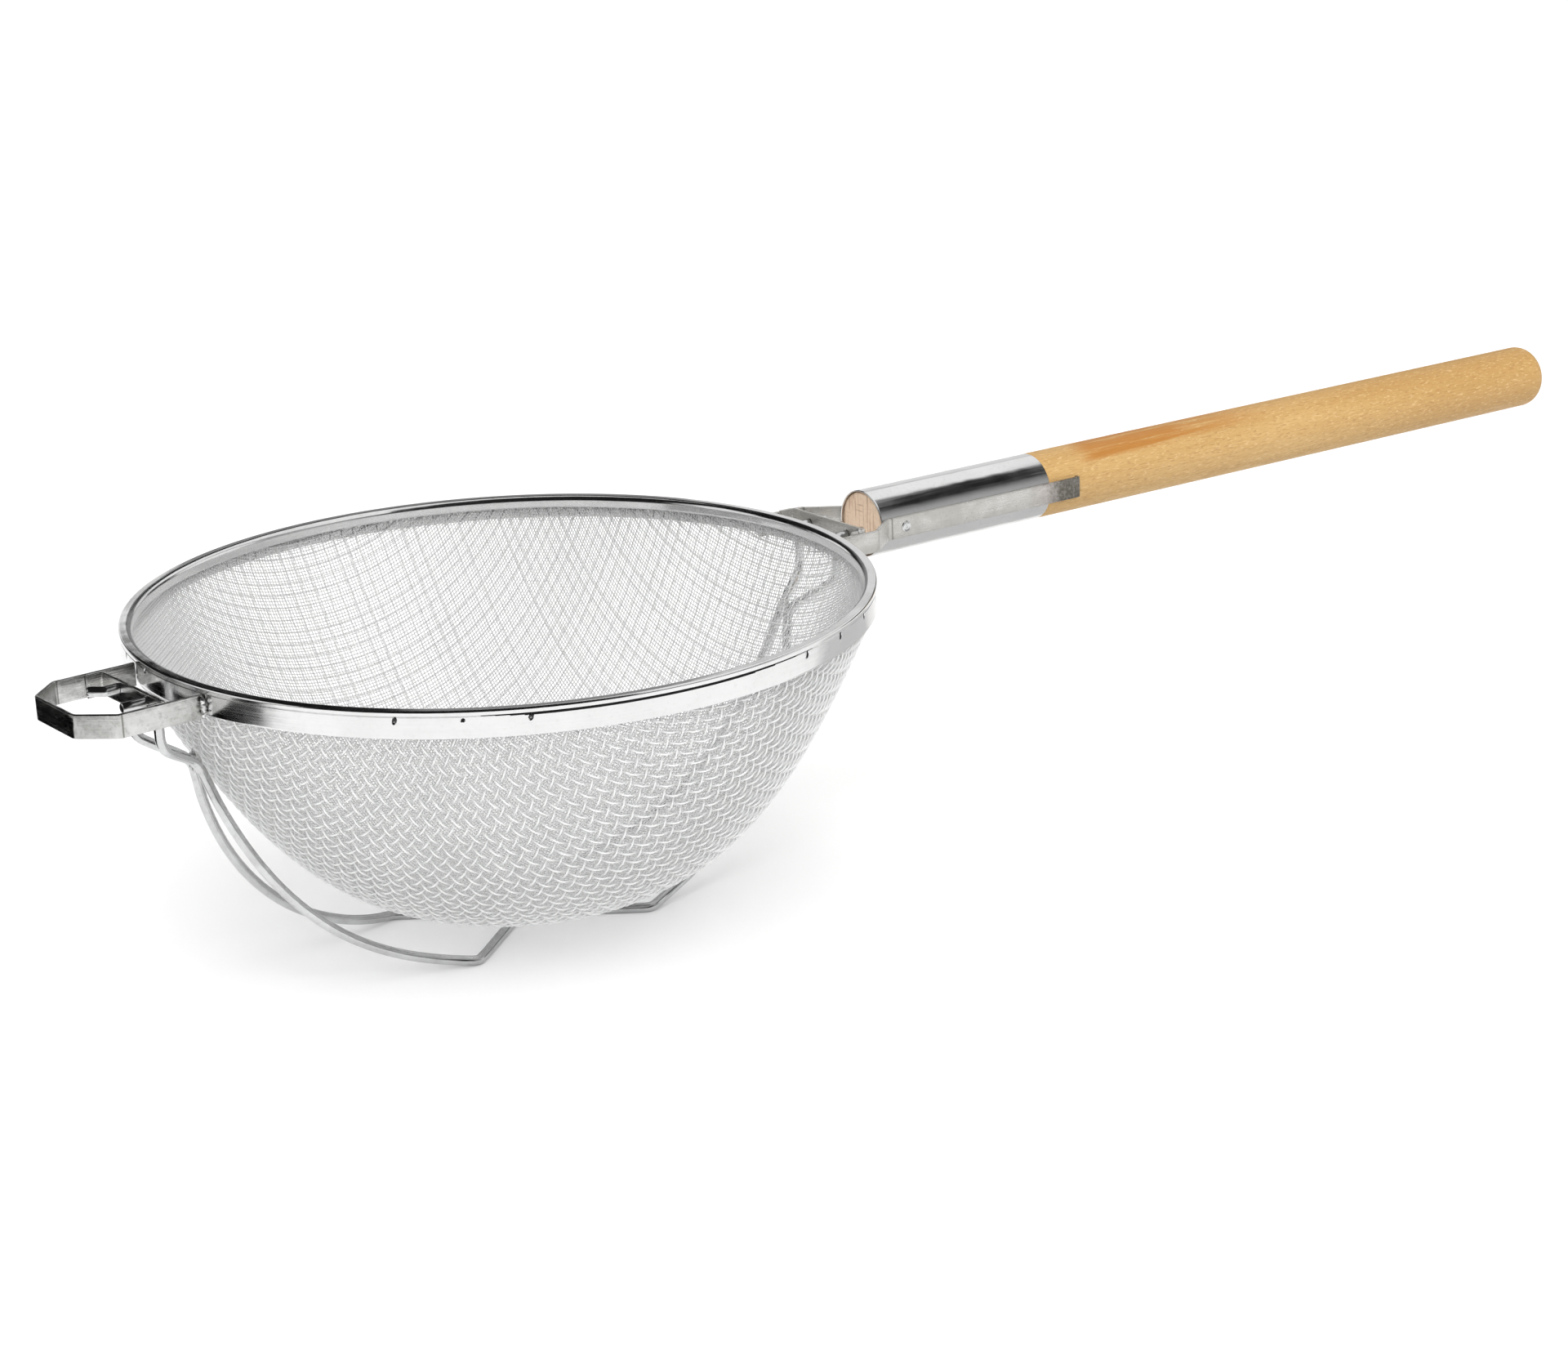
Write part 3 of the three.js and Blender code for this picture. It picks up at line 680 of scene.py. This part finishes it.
# Joins runs of wire into one mesh of thin tubes
def wireBundle(name, runs, cloth, finish, node):
    sides = cloth["sides"]
    angles = roundAngles(sides)
    cos, sin = np.cos(angles)[None, :, None], np.sin(angles)[None, :, None]
    vertBlocks, faceBlocks, crestBlocks, start = [], [], [], 0
    for points, normals, outer in runs:
        tangent = unit(np.gradient(points, axis=0))
        up = unit(normals - tangent * np.sum(normals * tangent, axis=1, keepdims=True))
        side = np.cross(tangent, up)
        ring = points[:, None, :] + cloth["tube"] * (cos * up[:, None, :] + sin * side[:, None, :])
        rows = len(points)
        i, j = np.meshgrid(np.arange(rows - 1), np.arange(sides), indexing="ij")
        k = (j + 1) % sides
        quads = np.stack([i * sides + j, i * sides + k, (i + 1) * sides + k, (i + 1) * sides + j], axis=-1)
        vertBlocks.append(ring.reshape(-1, 3))
        crestBlocks.append(np.where(np.cos(angles)[None, :] > 0.1, 1.0, outer[:, None]).ravel())
        faceBlocks.append(quads.reshape(-1, 4) + start)
        start += rows * sides
    verts = np.concatenate(vertBlocks) * mm
    quads = np.concatenate(faceBlocks)
    mesh = bpy.data.meshes.new(name)
    mesh.vertices.add(len(verts))
    mesh.vertices.foreach_set("co", verts.astype(np.float32).ravel())
    mesh.loops.add(quads.size)
    mesh.loops.foreach_set("vertex_index", quads.astype(np.int32).ravel())
    mesh.polygons.add(len(quads))
    mesh.polygons.foreach_set("loop_start", np.arange(0, quads.size, 4, dtype=np.int32))
    mesh.update(calc_edges=True)
    mesh.polygons.foreach_set("use_smooth", np.ones(len(quads), dtype=bool))
    spread = mesh.uv_layers.new(name="OFBake")  # the bowl seen from above
    seen = verts[quads.ravel(), :2] / bowl["spread"] + 0.5
    spread.data.foreach_set("uv", seen.astype(np.float32).ravel())
    # painted shade of the weave: 1 keeps the side that faces in and the crests bright, 0 darkens the hollows
    crests = np.concatenate(crestBlocks)[quads.ravel()]
    weave = mesh.uv_layers.new(name="weave")  # 0 in the hollows of the side that faces out
    weave.data.foreach_set("uv", np.column_stack([crests, crests]).astype(np.float32).ravel())
    placePiece(name, mesh, finish, node)
    print(name, len(quads) * 2, "triangles")


# Cuts a cloth direction into runs that lie below the rim and shares them out over several pieces
def weaveCloth(node, cloth, finish):
    for direction, label in enumerate(("along", "across")):
        points, inside, normals, outer = clothWires(cloth, direction)
        runs = []
        for wire in range(len(points)):
            kept = np.flatnonzero(inside[wire])
            if len(kept) < 3:
                continue
            pick = slice(kept[0], kept[-1] + 1)
            runs.append((points[wire, pick], normals[wire, pick], outer[wire, pick]))
        reached = np.cumsum([len(run[0]) for run in runs])
        part = np.minimum(reached * cloth["pieces"] // (reached[-1] + 1), cloth["pieces"] - 1)
        for k in range(cloth["pieces"]):
            share = [run for run, place in zip(runs, part) if place == k]
            wireBundle(f"{node}_{label}_{k + 1}", share, cloth, finish, node)


coarseCloth = {
    "pitch": 4.7, "wire": 0.75, "tube": 0.29, "depth": 0.9, "reach": 192, "steps": 6, "sides": 6,
    "uneven": 0.03, "seed": 11, "pieces": 2,
}
fineCloth = {
    "pitch": 1.25, "wire": 0.3, "tube": 0.18, "depth": 2.45, "reach": 192, "steps": 1, "sides": 3,
    "uneven": 0.05, "seed": 5, "pieces": 3,
}
weaveCloth("outer_mesh", coarseCloth, coarseWire)
weaveCloth("inner_mesh", fineCloth, fineWire)
print("both cloths woven")


# Rim: one strip folded over the rim wire, pinched by narrow crimps under the bead
rim = {
    "radius": 130.0, "crest": 120.0, "corner": 0.8, "innerCorner": 1.9, "crease": 118.0, "sheet": 0.5,
    "bandBottom": 110.8, "skirt": 125.4, "skirtBottom": 115.7, "groove": 0.3, "steps": 540,
    "bandColumns": 33, "foldColumns": 35,  # columns of the profile in the band, and up to the bead
    "crimpHeight": 116.9, "crimpWide": 0.85, "crimpTall": 1.6, "crimpDeep": 1.1, "crimpLean": 0.2,
    "crimps": [(222.65, 0.8), (232.2, 0.4), (241.55, 0.8), (287.15, 1.0), (296.7, 0.95), (306.6, 0.9)],
    # the fold's painted shade: angles where it starts, is full, stops being full and ends, and its reach
    # below the crease
    "crimpPitch": 9.47, "crimpsBehind": 24, "foldShadeSpan": (234.0, 242.0, 272.0, 290.0), "foldShadeTall": 0.9,
}


def rimProfile():
    names = ("radius", "crest", "crease", "corner", "innerCorner", "sheet", "bandBottom", "skirt")
    radius, crest, crease, corner, inside, sheet, bottom, skirt = (rim[name] for name in names)
    face = radius - 0.12
    skirtLow = rim["skirtBottom"]
    outer = [(face - 0.1, bottom), (face, bottom + 0.15)]
    outer += [(face, z) for z in np.linspace(bottom + 0.6, crease - 0.25, 30)]
    outer += [(face - 0.15, crease - 0.1), (face - rim["groove"], crease), (face - 0.1, crease + 0.12)]
    outer += [(radius, z) for z in np.linspace(crease + 0.25, crest - corner, 5)]
    outer += arcLine((radius - corner, crest - corner), corner, 8, 82, 10)
    top = np.linspace(radius - corner, skirt + inside, 9)
    outer += [(r, crest - 0.012 * (r - top.mean()) ** 2) for r in top]
    outer += arcLine((skirt + inside, crest - inside - 0.03), inside, 98, 180, 12)
    outer += [(skirt - 0.02, z) for z in np.linspace(117.6, skirtLow + 0.15, 5)]
    outer += [(skirt + 0.08, skirtLow)]
    within = skirt + sheet
    inner = [(within, skirtLow + 0.1), (within, 117.6)]
    inner += [(within + 1.1, 119.3), (radius - 1.2, 119.3), (radius - 0.7, 118.6)]
    inner += [(radius - sheet, 114.0), (radius - sheet, bottom + 0.1)]
    return outer + inner


def rimBand():
    last = rim["crimps"][-1][0]
    crimps = rim["crimps"] + [(last + rim["crimpPitch"] * (k + 1), 0.8) for k in range(rim["crimpsBehind"])]
    near = np.linspace(-1.3, 1.3, 15) * rim["crimpWide"] / rim["radius"]
    angles = roundAngles(rim["steps"])
    for place, _ in crimps:
        middle = math.radians(place) % (2 * math.pi)
        angles = angles[np.abs(angles - middle) > near[-1] * 1.2]
        angles = np.concatenate([angles, middle + near])
    angles = np.sort(angles)
    grid = turnedGrid(rimProfile(), angles)
    # along the near side a band of painted shade lies in the fold, as dark as a fold standing a little open
    gape = np.interp(np.degrees(angles) % 360, rim["foldShadeSpan"], (0, 1, 1, 0))[:, None]
    low = rim["crease"] - rim["foldShadeTall"] * gape
    dirty = (grid[..., 2] > low) & (grid[..., 2] < rim["crease"] + 0.2) & (gape > 0.05)
    dirty[:, rim["foldColumns"]:] = False
    for place, size in crimps:
        turn = (angles - math.radians(place) + math.pi) % (2 * math.pi) - math.pi
        above = grid[..., 2] - rim["crimpHeight"]
        aside = turn[:, None] * rim["radius"] - rim["crimpLean"] * above
        far = np.sqrt((aside / rim["crimpWide"]) ** 2 + (above / rim["crimpTall"] / size) ** 2)
        depth = np.where(far < 1, rim["crimpDeep"] * size * (1 - far**2), 0)
        depth[:, rim["bandColumns"]:] = 0
        # the crimps' dents get painted shade too
        dirty |= depth > rim["crimpDeep"] * 0.04
        grid[..., :2] *= (1 - depth / rim["radius"])[..., None]
    band = addGrid("rim_band_folded", grid, tinnedSheet, "rim_band", closeRows=True)
    # faces in the shade take the near-black painted shade finish
    band.data.materials.append(grime)
    dirty = dirty.ravel()
    for face in band.data.polygons:
        if all(dirty[corner] for corner in face.vertices):
            face.material_index = 1


rimBand()
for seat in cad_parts["rim_wire"].material_slots:  # hidden in the bead
    seat.material = drawnWire
print("rim made")


# Cradle: two wires from the hook plate, down, under the bowl where they cross, up to the fork plate
cradle = {
    "wire": 3.5, "foot": (36.2, 28.7, 1.6), "footBend": 4.5, "crossing": 25.0, "rise": 3.8, "dropX": 137.6,
    "dropEnd": 97.8, "dropBend": 8.0, "plateBend": 1.8, "elbow": (121.4, 1.95, 87.8),
    "runFromElbow": (15.8, -17.9, -64.7), "runIntoFoot": (-28.2, 10.8, 5.0),
    "hookHole": (140.4, 10.0, 114.8), "hookTail": 9.5, "forkHole": (143.2, 11.2, 113.65), "forkTail": 7.0,
    "bentTail": 5.5, "bentAngle": 45.0, "bentBend": 1.5,
}


def cradleHalf(hole, tail, side):
    holeY = -side * hole[1]
    flip = np.array((1.0, side, 1.0))
    elbow, foot = (np.array(cradle[name]) * (-1, -side, 1) for name in ("elbow", "foot"))
    first = elbow + np.array(cradle["runFromElbow"]) * flip
    second = foot + np.array(cradle["runIntoFoot"]) * flip
    half = [(-(hole[0] + tail), holeY, hole[2]), (-cradle["dropX"], holeY, hole[2], cradle["plateBend"])]
    half += [(-cradle["dropX"], holeY, cradle["dropEnd"])]
    half += [tuple(curveAt(t, elbow, first, second, foot)) for t in np.arange(12) / 12]
    return half + [(*foot, cradle["footBend"])]


def cradleWire(name, side, rise, bent, node):
    front = cradleHalf(cradle["hookHole"], cradle["hookTail"], side)
    back = [(-p[0], -p[1], *p[2:]) for p in cradleHalf(cradle["forkHole"], cradle["forkTail"], side)][::-1]
    if bent:
        angle = math.radians(cradle["bentAngle"])
        x, y, z = front[0]
        tip = (x, y - side * cradle["bentTail"] * math.sin(angle), z)
        front[:1] = [tip, (x + cradle["bentTail"] * math.cos(angle), y, z, cradle["bentBend"])]
    foot = front[-1]
    flat = math.hypot(foot[0], foot[1])
    crossing = []
    for along in np.linspace(-cradle["crossing"], cradle["crossing"], 21):
        lift = rise * math.cos(math.pi * along / cradle["crossing"] / 2) ** 2
        crossing.append((-foot[0] * along / flat, -foot[1] * along / flat, foot[2] + lift))
    line = smoothLine(bendLine(front + crossing + back, cradle["dropBend"], 8))
    grid = wireGrid(line, cradle["wire"] / 2)
    grid[..., 2] = np.maximum(grid[..., 2], 0.0)  # the feet are worn flat
    addGrid(name, grid, drawnWire, node)


cradleWire("cradle_lower_bent", 1, 0.0, False, "cradle_wire_lower")
cradleWire("cradle_upper_bent", -1, cradle["rise"], True, "cradle_wire_upper")
print("cradle made")


# Straps, plates and their holes
straps = {
    "thick": 1.4, "tall": 8.0, "bend": 1.5, "crease": 0.9, "tipBend": 3.5, "armEnd": 128.34, "armY": 23.2,
    "hookHeight": 113.8, "hookBend": 157.4, "hookTip": 168.2, "tipY": 13.2, "plateThick": 1.2,
    "plateTab": 6.0, "plateY": 21.6, "hookPlate": 140.4, "hookHole": (10.0, 1.0), "forkPlate": 143.2,
    "forkHole": (11.2, 0.0), "forkRise": 0.8, "holeRadius": 2.05, "punch": 4.0, "forkBend": 147.2,
    "seat": (159.8, 13.6), "forkEnd": 253.8, "prong": 9.6,
}


def atHook(points):
    return points + (0, 0, straps["hookHeight"])


def atForkPlate(points):
    return onHandleAxis(points + (0, 0, straps["forkRise"]))


def hookStrap():
    s = straps
    half = [(-s["armEnd"], s["armY"], 0), (-s["hookBend"], s["armY"], 0),
            (-s["hookTip"], s["tipY"], 0, s["tipBend"])]
    corners = [(x, -y, *rest) for x, y, *rest in half] + half[::-1]
    addStrip("hook_strap_bent", bendLine(corners, s["bend"], 6), s["thick"], s["tall"], hookStrip,
             "hook_strap", atHook)


def forkArm(name, side, node):
    s = straps
    armY, (seatX, seatY) = s["armY"], s["seat"]
    plan = [(s["armEnd"], armY), (s["forkBend"], armY), (seatX, seatY), (s["forkEnd"], seatY),
            (s["forkEnd"], s["prong"])]
    corners = [(x, side * y, 0) for x, y in plan]
    addStrip(name, bendLine(corners, s["crease"], 4), s["thick"], s["tall"], forkStrip, node, onHandleAxis)


# A plate with its holes punched where the cradle's wires pass through
def crossPlate(name, x, hole, finish, move, node):
    s = straps
    tab = x - s["plateTab"]
    corners = [(tab, -s["plateY"], 0), (x, -s["plateY"], 0), (x, s["plateY"], 0), (tab, s["plateY"], 0)]
    piece = addStrip(name, bendLine(corners, s["bend"], 6), s["plateThick"], s["tall"], finish, node, move)
    for side in (-1, 1):
        ends = np.array([(x + past, side * hole[0], hole[1]) for past in (-s["punch"], 0, s["punch"])])
        grid = move(wireGrid(ends, s["holeRadius"], 28))
        punchMesh = bpy.data.meshes.new("punch")
        punchMesh.from_pydata((grid.reshape(-1, 3) * mm).tolist(), [], gridFaces(grid)[0])
        punch = addObject("punch", punchMesh)
        cutter = piece.modifiers.new("hole", "BOOLEAN")
        cutter.operation = "DIFFERENCE"
        cutter.object = punch
        cutter.solver = "EXACT"
        bpy.context.view_layer.update()
        whole = piece.evaluated_get(bpy.context.evaluated_depsgraph_get())
        cutMesh = bpy.data.meshes.new_from_object(whole)
        piece.modifiers.clear()
        piece.data = cutMesh
        bpy.data.objects.remove(punch)
    piece.data.set_sharp_from_angle(angle=math.radians(40))


hookStrap()
forkArm("fork_arm_left_bent", 1, "fork_arm_left")
forkArm("fork_arm_right_bent", -1, "fork_arm_right")
crossPlate("hook_plate_punched", -straps["hookPlate"], straps["hookHole"], hookStrip, atHook, "hook_plate")
crossPlate("fork_plate_punched", straps["forkPlate"], straps["forkHole"], forkStrip, atForkPlate,
           "fork_plate")
print("straps and plates made")


# Solder: lumpy beads in the corners between the straps and the rim
beads = {
    "radius": 0.9, "gap": 0.3, "tall": 7.2, "y": 25.1, "rough": 0.45, "fine": 0.2, "rows": 26, "columns": 16,
    "sharp": 80,
}


def solderBead(name, direction, side, move, node, seed):
    x = direction * math.sqrt((rim["radius"] + beads["gap"] + beads["radius"]) ** 2 - beads["y"] ** 2)
    rows, columns = beads["rows"], beads["columns"]
    grid = np.zeros((rows, columns, 3))
    for i in range(rows):
        t = i / (rows - 1)
        thick = beads["radius"] * math.sqrt(max(1 - (2 * t - 1) ** 4, 0.02))
        for j, angle in enumerate(roundAngles(columns)):
            way = Vector((math.cos(angle), math.sin(angle), 0))
            place = Vector((way.x * 0.9, way.y * 0.9, t * beads["tall"] * 0.8 + seed * 7.3))
            lump = beads["rough"] * noise.noise(place) + beads["fine"] * noise.noise(place * 2.7)
            size = thick * (1 + lump)
            grid[i, j] = (x + way.x * size, side * beads["y"] + way.y * size, (t - 0.5) * beads["tall"])
    addGrid(name, move(grid), solder, node, beads["sharp"])


solderBead("hook_solder_left", -1, 1, atHook, "hook_weld_left", 1)
solderBead("hook_solder_right", -1, -1, atHook, "hook_weld_right", 2)
solderBead("fork_solder_left", 1, 1, onHandleAxis, "fork_weld_left", 3)
solderBead("fork_solder_right", 1, -1, onHandleAxis, "fork_weld_right", 4)

# Lumps of solder run between two pieces
lumps = {
    "elbow": (121.4, 0.0, 87.8), "elbowSize": (2.1, 2.5, 3.6), "corner": (140.6, -21.0, 116.4),
    "cornerSize": (1.9, 1.5, 1.6), "rough": 0.3, "fine": 0.12, "rows": 18, "columns": 24,
}


def solderLump(name, place, size, node, seed):
    rows, columns = lumps["rows"], lumps["columns"]
    grid = np.zeros((rows, columns, 3))
    for i in range(rows):
        tilt = math.pi * (0.02 + 0.96 * i / (rows - 1))
        wide = math.sin(tilt)
        for j, angle in enumerate(roundAngles(columns)):
            way = Vector((wide * math.cos(angle), wide * math.sin(angle), -math.cos(tilt)))
            lump = 1 + lumps["rough"] * noise.noise(way * 1.7 + Vector((seed, 0, 0)))
            lump += lumps["fine"] * noise.noise(way * 4.0)
            grid[i, j] = np.array(place) + np.array(way) * size * lump
    addGrid(name, grid, solder, node, beads["sharp"])


elbow = np.array(lumps["elbow"])
solderLump("elbow_solder_hook", elbow * (-1, 1, 1), lumps["elbowSize"], "cradle_wire_lower", 1)
solderLump("elbow_solder_fork", elbow, lumps["elbowSize"], "cradle_wire_lower", 2)
solderLump("fork_plate_solder", lumps["corner"], lumps["cornerSize"], "fork_plate", 3)
print("solder made")


# Ferrule, handle and rivets about the handle's axis
grip = {
    "radius": 12.6, "ferrule": (158.3, 240.3), "sheet": 0.5, "lip": 0.3, "woodStart": 159.1,
    "woodEnd": 522.1, "tenon": 11.8, "endRound": 6.5, "sides": 128, "middle": 0.02,
}
rivets = {"x": 168.4, "seat": 14.3, "root": 8.0, "sides": 32}


# A profile turned about the handle's axis
def turnedOnAxis(profile):
    grid = turnedGrid(profile, roundAngles(grip["sides"])).transpose(1, 0, 2)
    return onHandleAxis(np.roll(grid, 1, axis=-1))


def ferrule():
    start, end = grip["ferrule"]
    outer, inner, lip = grip["radius"], grip["radius"] - grip["sheet"], grip["lip"]
    profile = [(inner, start + lip), (inner + 0.06, start + 0.1), (inner + 0.16, start)]
    profile += arcLine((outer - lip, start + lip), lip, -90, 0, 5)
    profile += [(outer, x) for x in np.linspace(start + 1, end - 1, 40)]
    profile += [(outer, end - 0.15), (outer - 0.15, end), (inner, end), (inner, start + 20)]
    addGrid("ferrule_rolled", turnedOnAxis(profile), tinnedSheet, "ferrule", closeRows=True)


def handle():
    start, end, radius, tenon = (grip[name] for name in ("woodStart", "woodEnd", "radius", "tenon"))
    shoulder = grip["ferrule"][1] + 0.15
    profile = [(grip["middle"], start)] + [(r, start) for r in np.linspace(1, tenon - 0.3, 8)]
    profile += [(tenon, start + 0.3), (tenon, shoulder), (radius - 0.25, shoulder), (radius, shoulder + 0.3)]
    profile += [(radius, x) for x in np.linspace(shoulder + 2, end - grip["endRound"] - 1, 60)]
    centre = (radius - grip["endRound"], end - grip["endRound"])
    profile += arcLine(centre, grip["endRound"], 0, 88, 14)
    profile += [(r, end) for r in np.linspace(centre[0] - 0.5, grip["middle"], 6)]
    addGrid("handle_turned", turnedOnAxis(profile), beech, "handle", 50)


def rivet(name, side, node):
    seat, root = rivets["seat"], rivets["root"]
    profile = [(grip["middle"], root), (1.1, root), (1.2, seat - 0.1), (2.0, seat - 0.05), (2.1, seat + 0.1),
               (1.9, seat + 0.24), (1.5, seat + 0.16), (1.15, seat), (0.6, seat + 0.12),
               (grip["middle"], seat + 0.2)]
    ring = turnedGrid(profile, roundAngles(rivets["sides"])).transpose(1, 0, 2)
    grid = np.stack([rivets["x"] + ring[..., 0], side * ring[..., 2], -side * ring[..., 1]], axis=-1)
    addGrid(name, onHandleAxis(grid), drawnWire, node)


ferrule()
handle()
rivet("fork_rivet_left_set", 1, "fork_rivet_left")
rivet("fork_rivet_right_set", -1, "fork_rivet_right")
print("ferrule, handle and rivets made")


# Stage in metres: a white floor, soft light from the front, and a studio that only shows in the metal
stage = {
    "floor": 0.86, "floorLow": (-12.0, -12.0, 0.0), "floorHigh": (12.0, 12.0, 0.0), "glow": 0.16,
    "shine": 0.2, "fill": 0.64, "ceiling": 0.008,
    "sun": 2.4, "sunSpread": 62.0, "sunFrom": (-0.26, -0.50, 0.80),
    "patches": [  # direction, inner and outer angle, brightness
        ((0.72, 0.32, 0.62), 18, 25, 0.92),
        ((0.564, 0.767, 0.15), 8, 28, 0.26),
        ((-0.836, 0.483, 0.259), 20, 26, 0.85),
        ((0.90, -0.28, 0.25), 14, 24, 0.9),
        ((0.55, -0.83, 0.0), 4, 42, 0.42),
    ],
    "cards": {  # brightness, then two opposite corners; each card is seen only in the metal
        "hookCard": (0.0, (-2.0, 0.05, 0.0005), (-0.2, 1.5, 0.0005)),
        "nearRimCard": (0.0, (-0.12, 0.2, 0.174), (0.075, 0.2, 0.4)),
        "rightRimCard": (0.75, (0.4, 0.45, 0.12), (0.75, 0.45, 0.42)),
        "leftRimCard": (0.85, (-0.1, 0.45, 0.1), (0.1, 0.45, 0.258)),
        "farRimCard": (0.9, (0.08, -0.6, 0.5), (0.43, 0.3, 0.5)),
        "ferruleCard": (0.6, (0.2, -0.2, 0.0005), (0.55, 0.05, 0.0005)),
    },
}
white = (1, 1, 1)


# An upright or level sheet between two opposite corners
def flatSheet(name, low, high, finish):
    (x0, y0, z0), (x1, y1, z1) = low, high
    mesh = bpy.data.meshes.new(name)
    mesh.from_pydata([(x0, y0, z0), (x1, y0, z0), (x1, y1, z1), (x0, y1, z1)], [], [(0, 1, 2, 3)])
    mesh.materials.append(finish)
    sheet = addObject(name, mesh)
    return sheet


def studioFloor():
    look = {"Base Color": (stage["floor"],) * 3, "Roughness": 0.9, "Specular IOR Level": 0.1}
    finish, tree, shader = newFinish("studioFloor", {**look, "Emission Color": white})
    # the floor glows a little for the camera and in the metal, as an overexposed backdrop does
    path = addNode(tree, "LightPath").outputs
    shine = addMath(tree, "MULTIPLY_ADD", path["Is Glossy Ray"], stage["shine"], path["Is Camera Ray"])
    fillInputs(tree, shader, {"Emission Strength": addMath(tree, "MULTIPLY", shine, stage["glow"])})
    flatSheet("floor", stage["floorLow"], stage["floorHigh"], finish)


# Dark and pale cards out of the camera's sight
def studioCards():
    look = {"Base Color": (0, 0, 0), "Specular IOR Level": 0.0, "Emission Color": white}
    for name, (bright, low, high) in stage["cards"].items():
        card = flatSheet(name, low, high, newFinish(name, {**look, "Emission Strength": bright})[0])
        for sight in ("camera", "diffuse", "shadow", "transmission"):
            setattr(card, "visible_" + sight, False)


def sunLamp():
    lamp = bpy.data.lights.new("overhead", "SUN")
    lamp.energy = stage["sun"]
    lamp.angle = math.radians(stage["sunSpread"])
    light = addObject("overhead", lamp)
    light.rotation_euler = Vector(stage["sunFrom"]).to_track_quat("Z", "Y").to_euler()
    light.visible_glossy = False


def studioWorld():
    world = bpy.data.worlds.new("studio")
    scene.world = world
    world.use_nodes = True
    tree = world.node_tree
    tree.nodes.clear()
    path = addNode(tree, "LightPath").outputs
    # white to the camera beyond the floor's end, so that no horizon shows
    seen = addMath(tree, "MULTIPLY_ADD", path["Is Camera Ray"], 1 - stage["fill"], stage["fill"])
    plain = addNode(tree, "Background", {"Color": white, "Strength": seen}).outputs[0]
    place = addNode(tree, "TexCoord").outputs["Generated"]
    light = stage["ceiling"]
    for toward, inner, outer, bright in stage["patches"]:
        sides = {0: place, 1: Vector(toward).normalized()}
        facing = addNode(tree, "VectorMath", sides, operation="DOT_PRODUCT").outputs["Value"]
        low, high = (math.cos(math.radians(angle)) for angle in (outer, inner))
        edge = addRange(tree, facing, low, high, top=bright, kind="SMOOTHSTEP")
        light = addMath(tree, "MAXIMUM", edge, light)
    studio = addNode(tree, "Background", {"Color": light, "Strength": 1.0}).outputs[0]
    mixed = addNode(tree, "MixShader", {0: path["Is Glossy Ray"], 1: plain, 2: studio})
    addNode(tree, "OutputWorld", {0: mixed.outputs[0]})


studioFloor()
studioCards()
sunLamp()
studioWorld()
print("stage set")
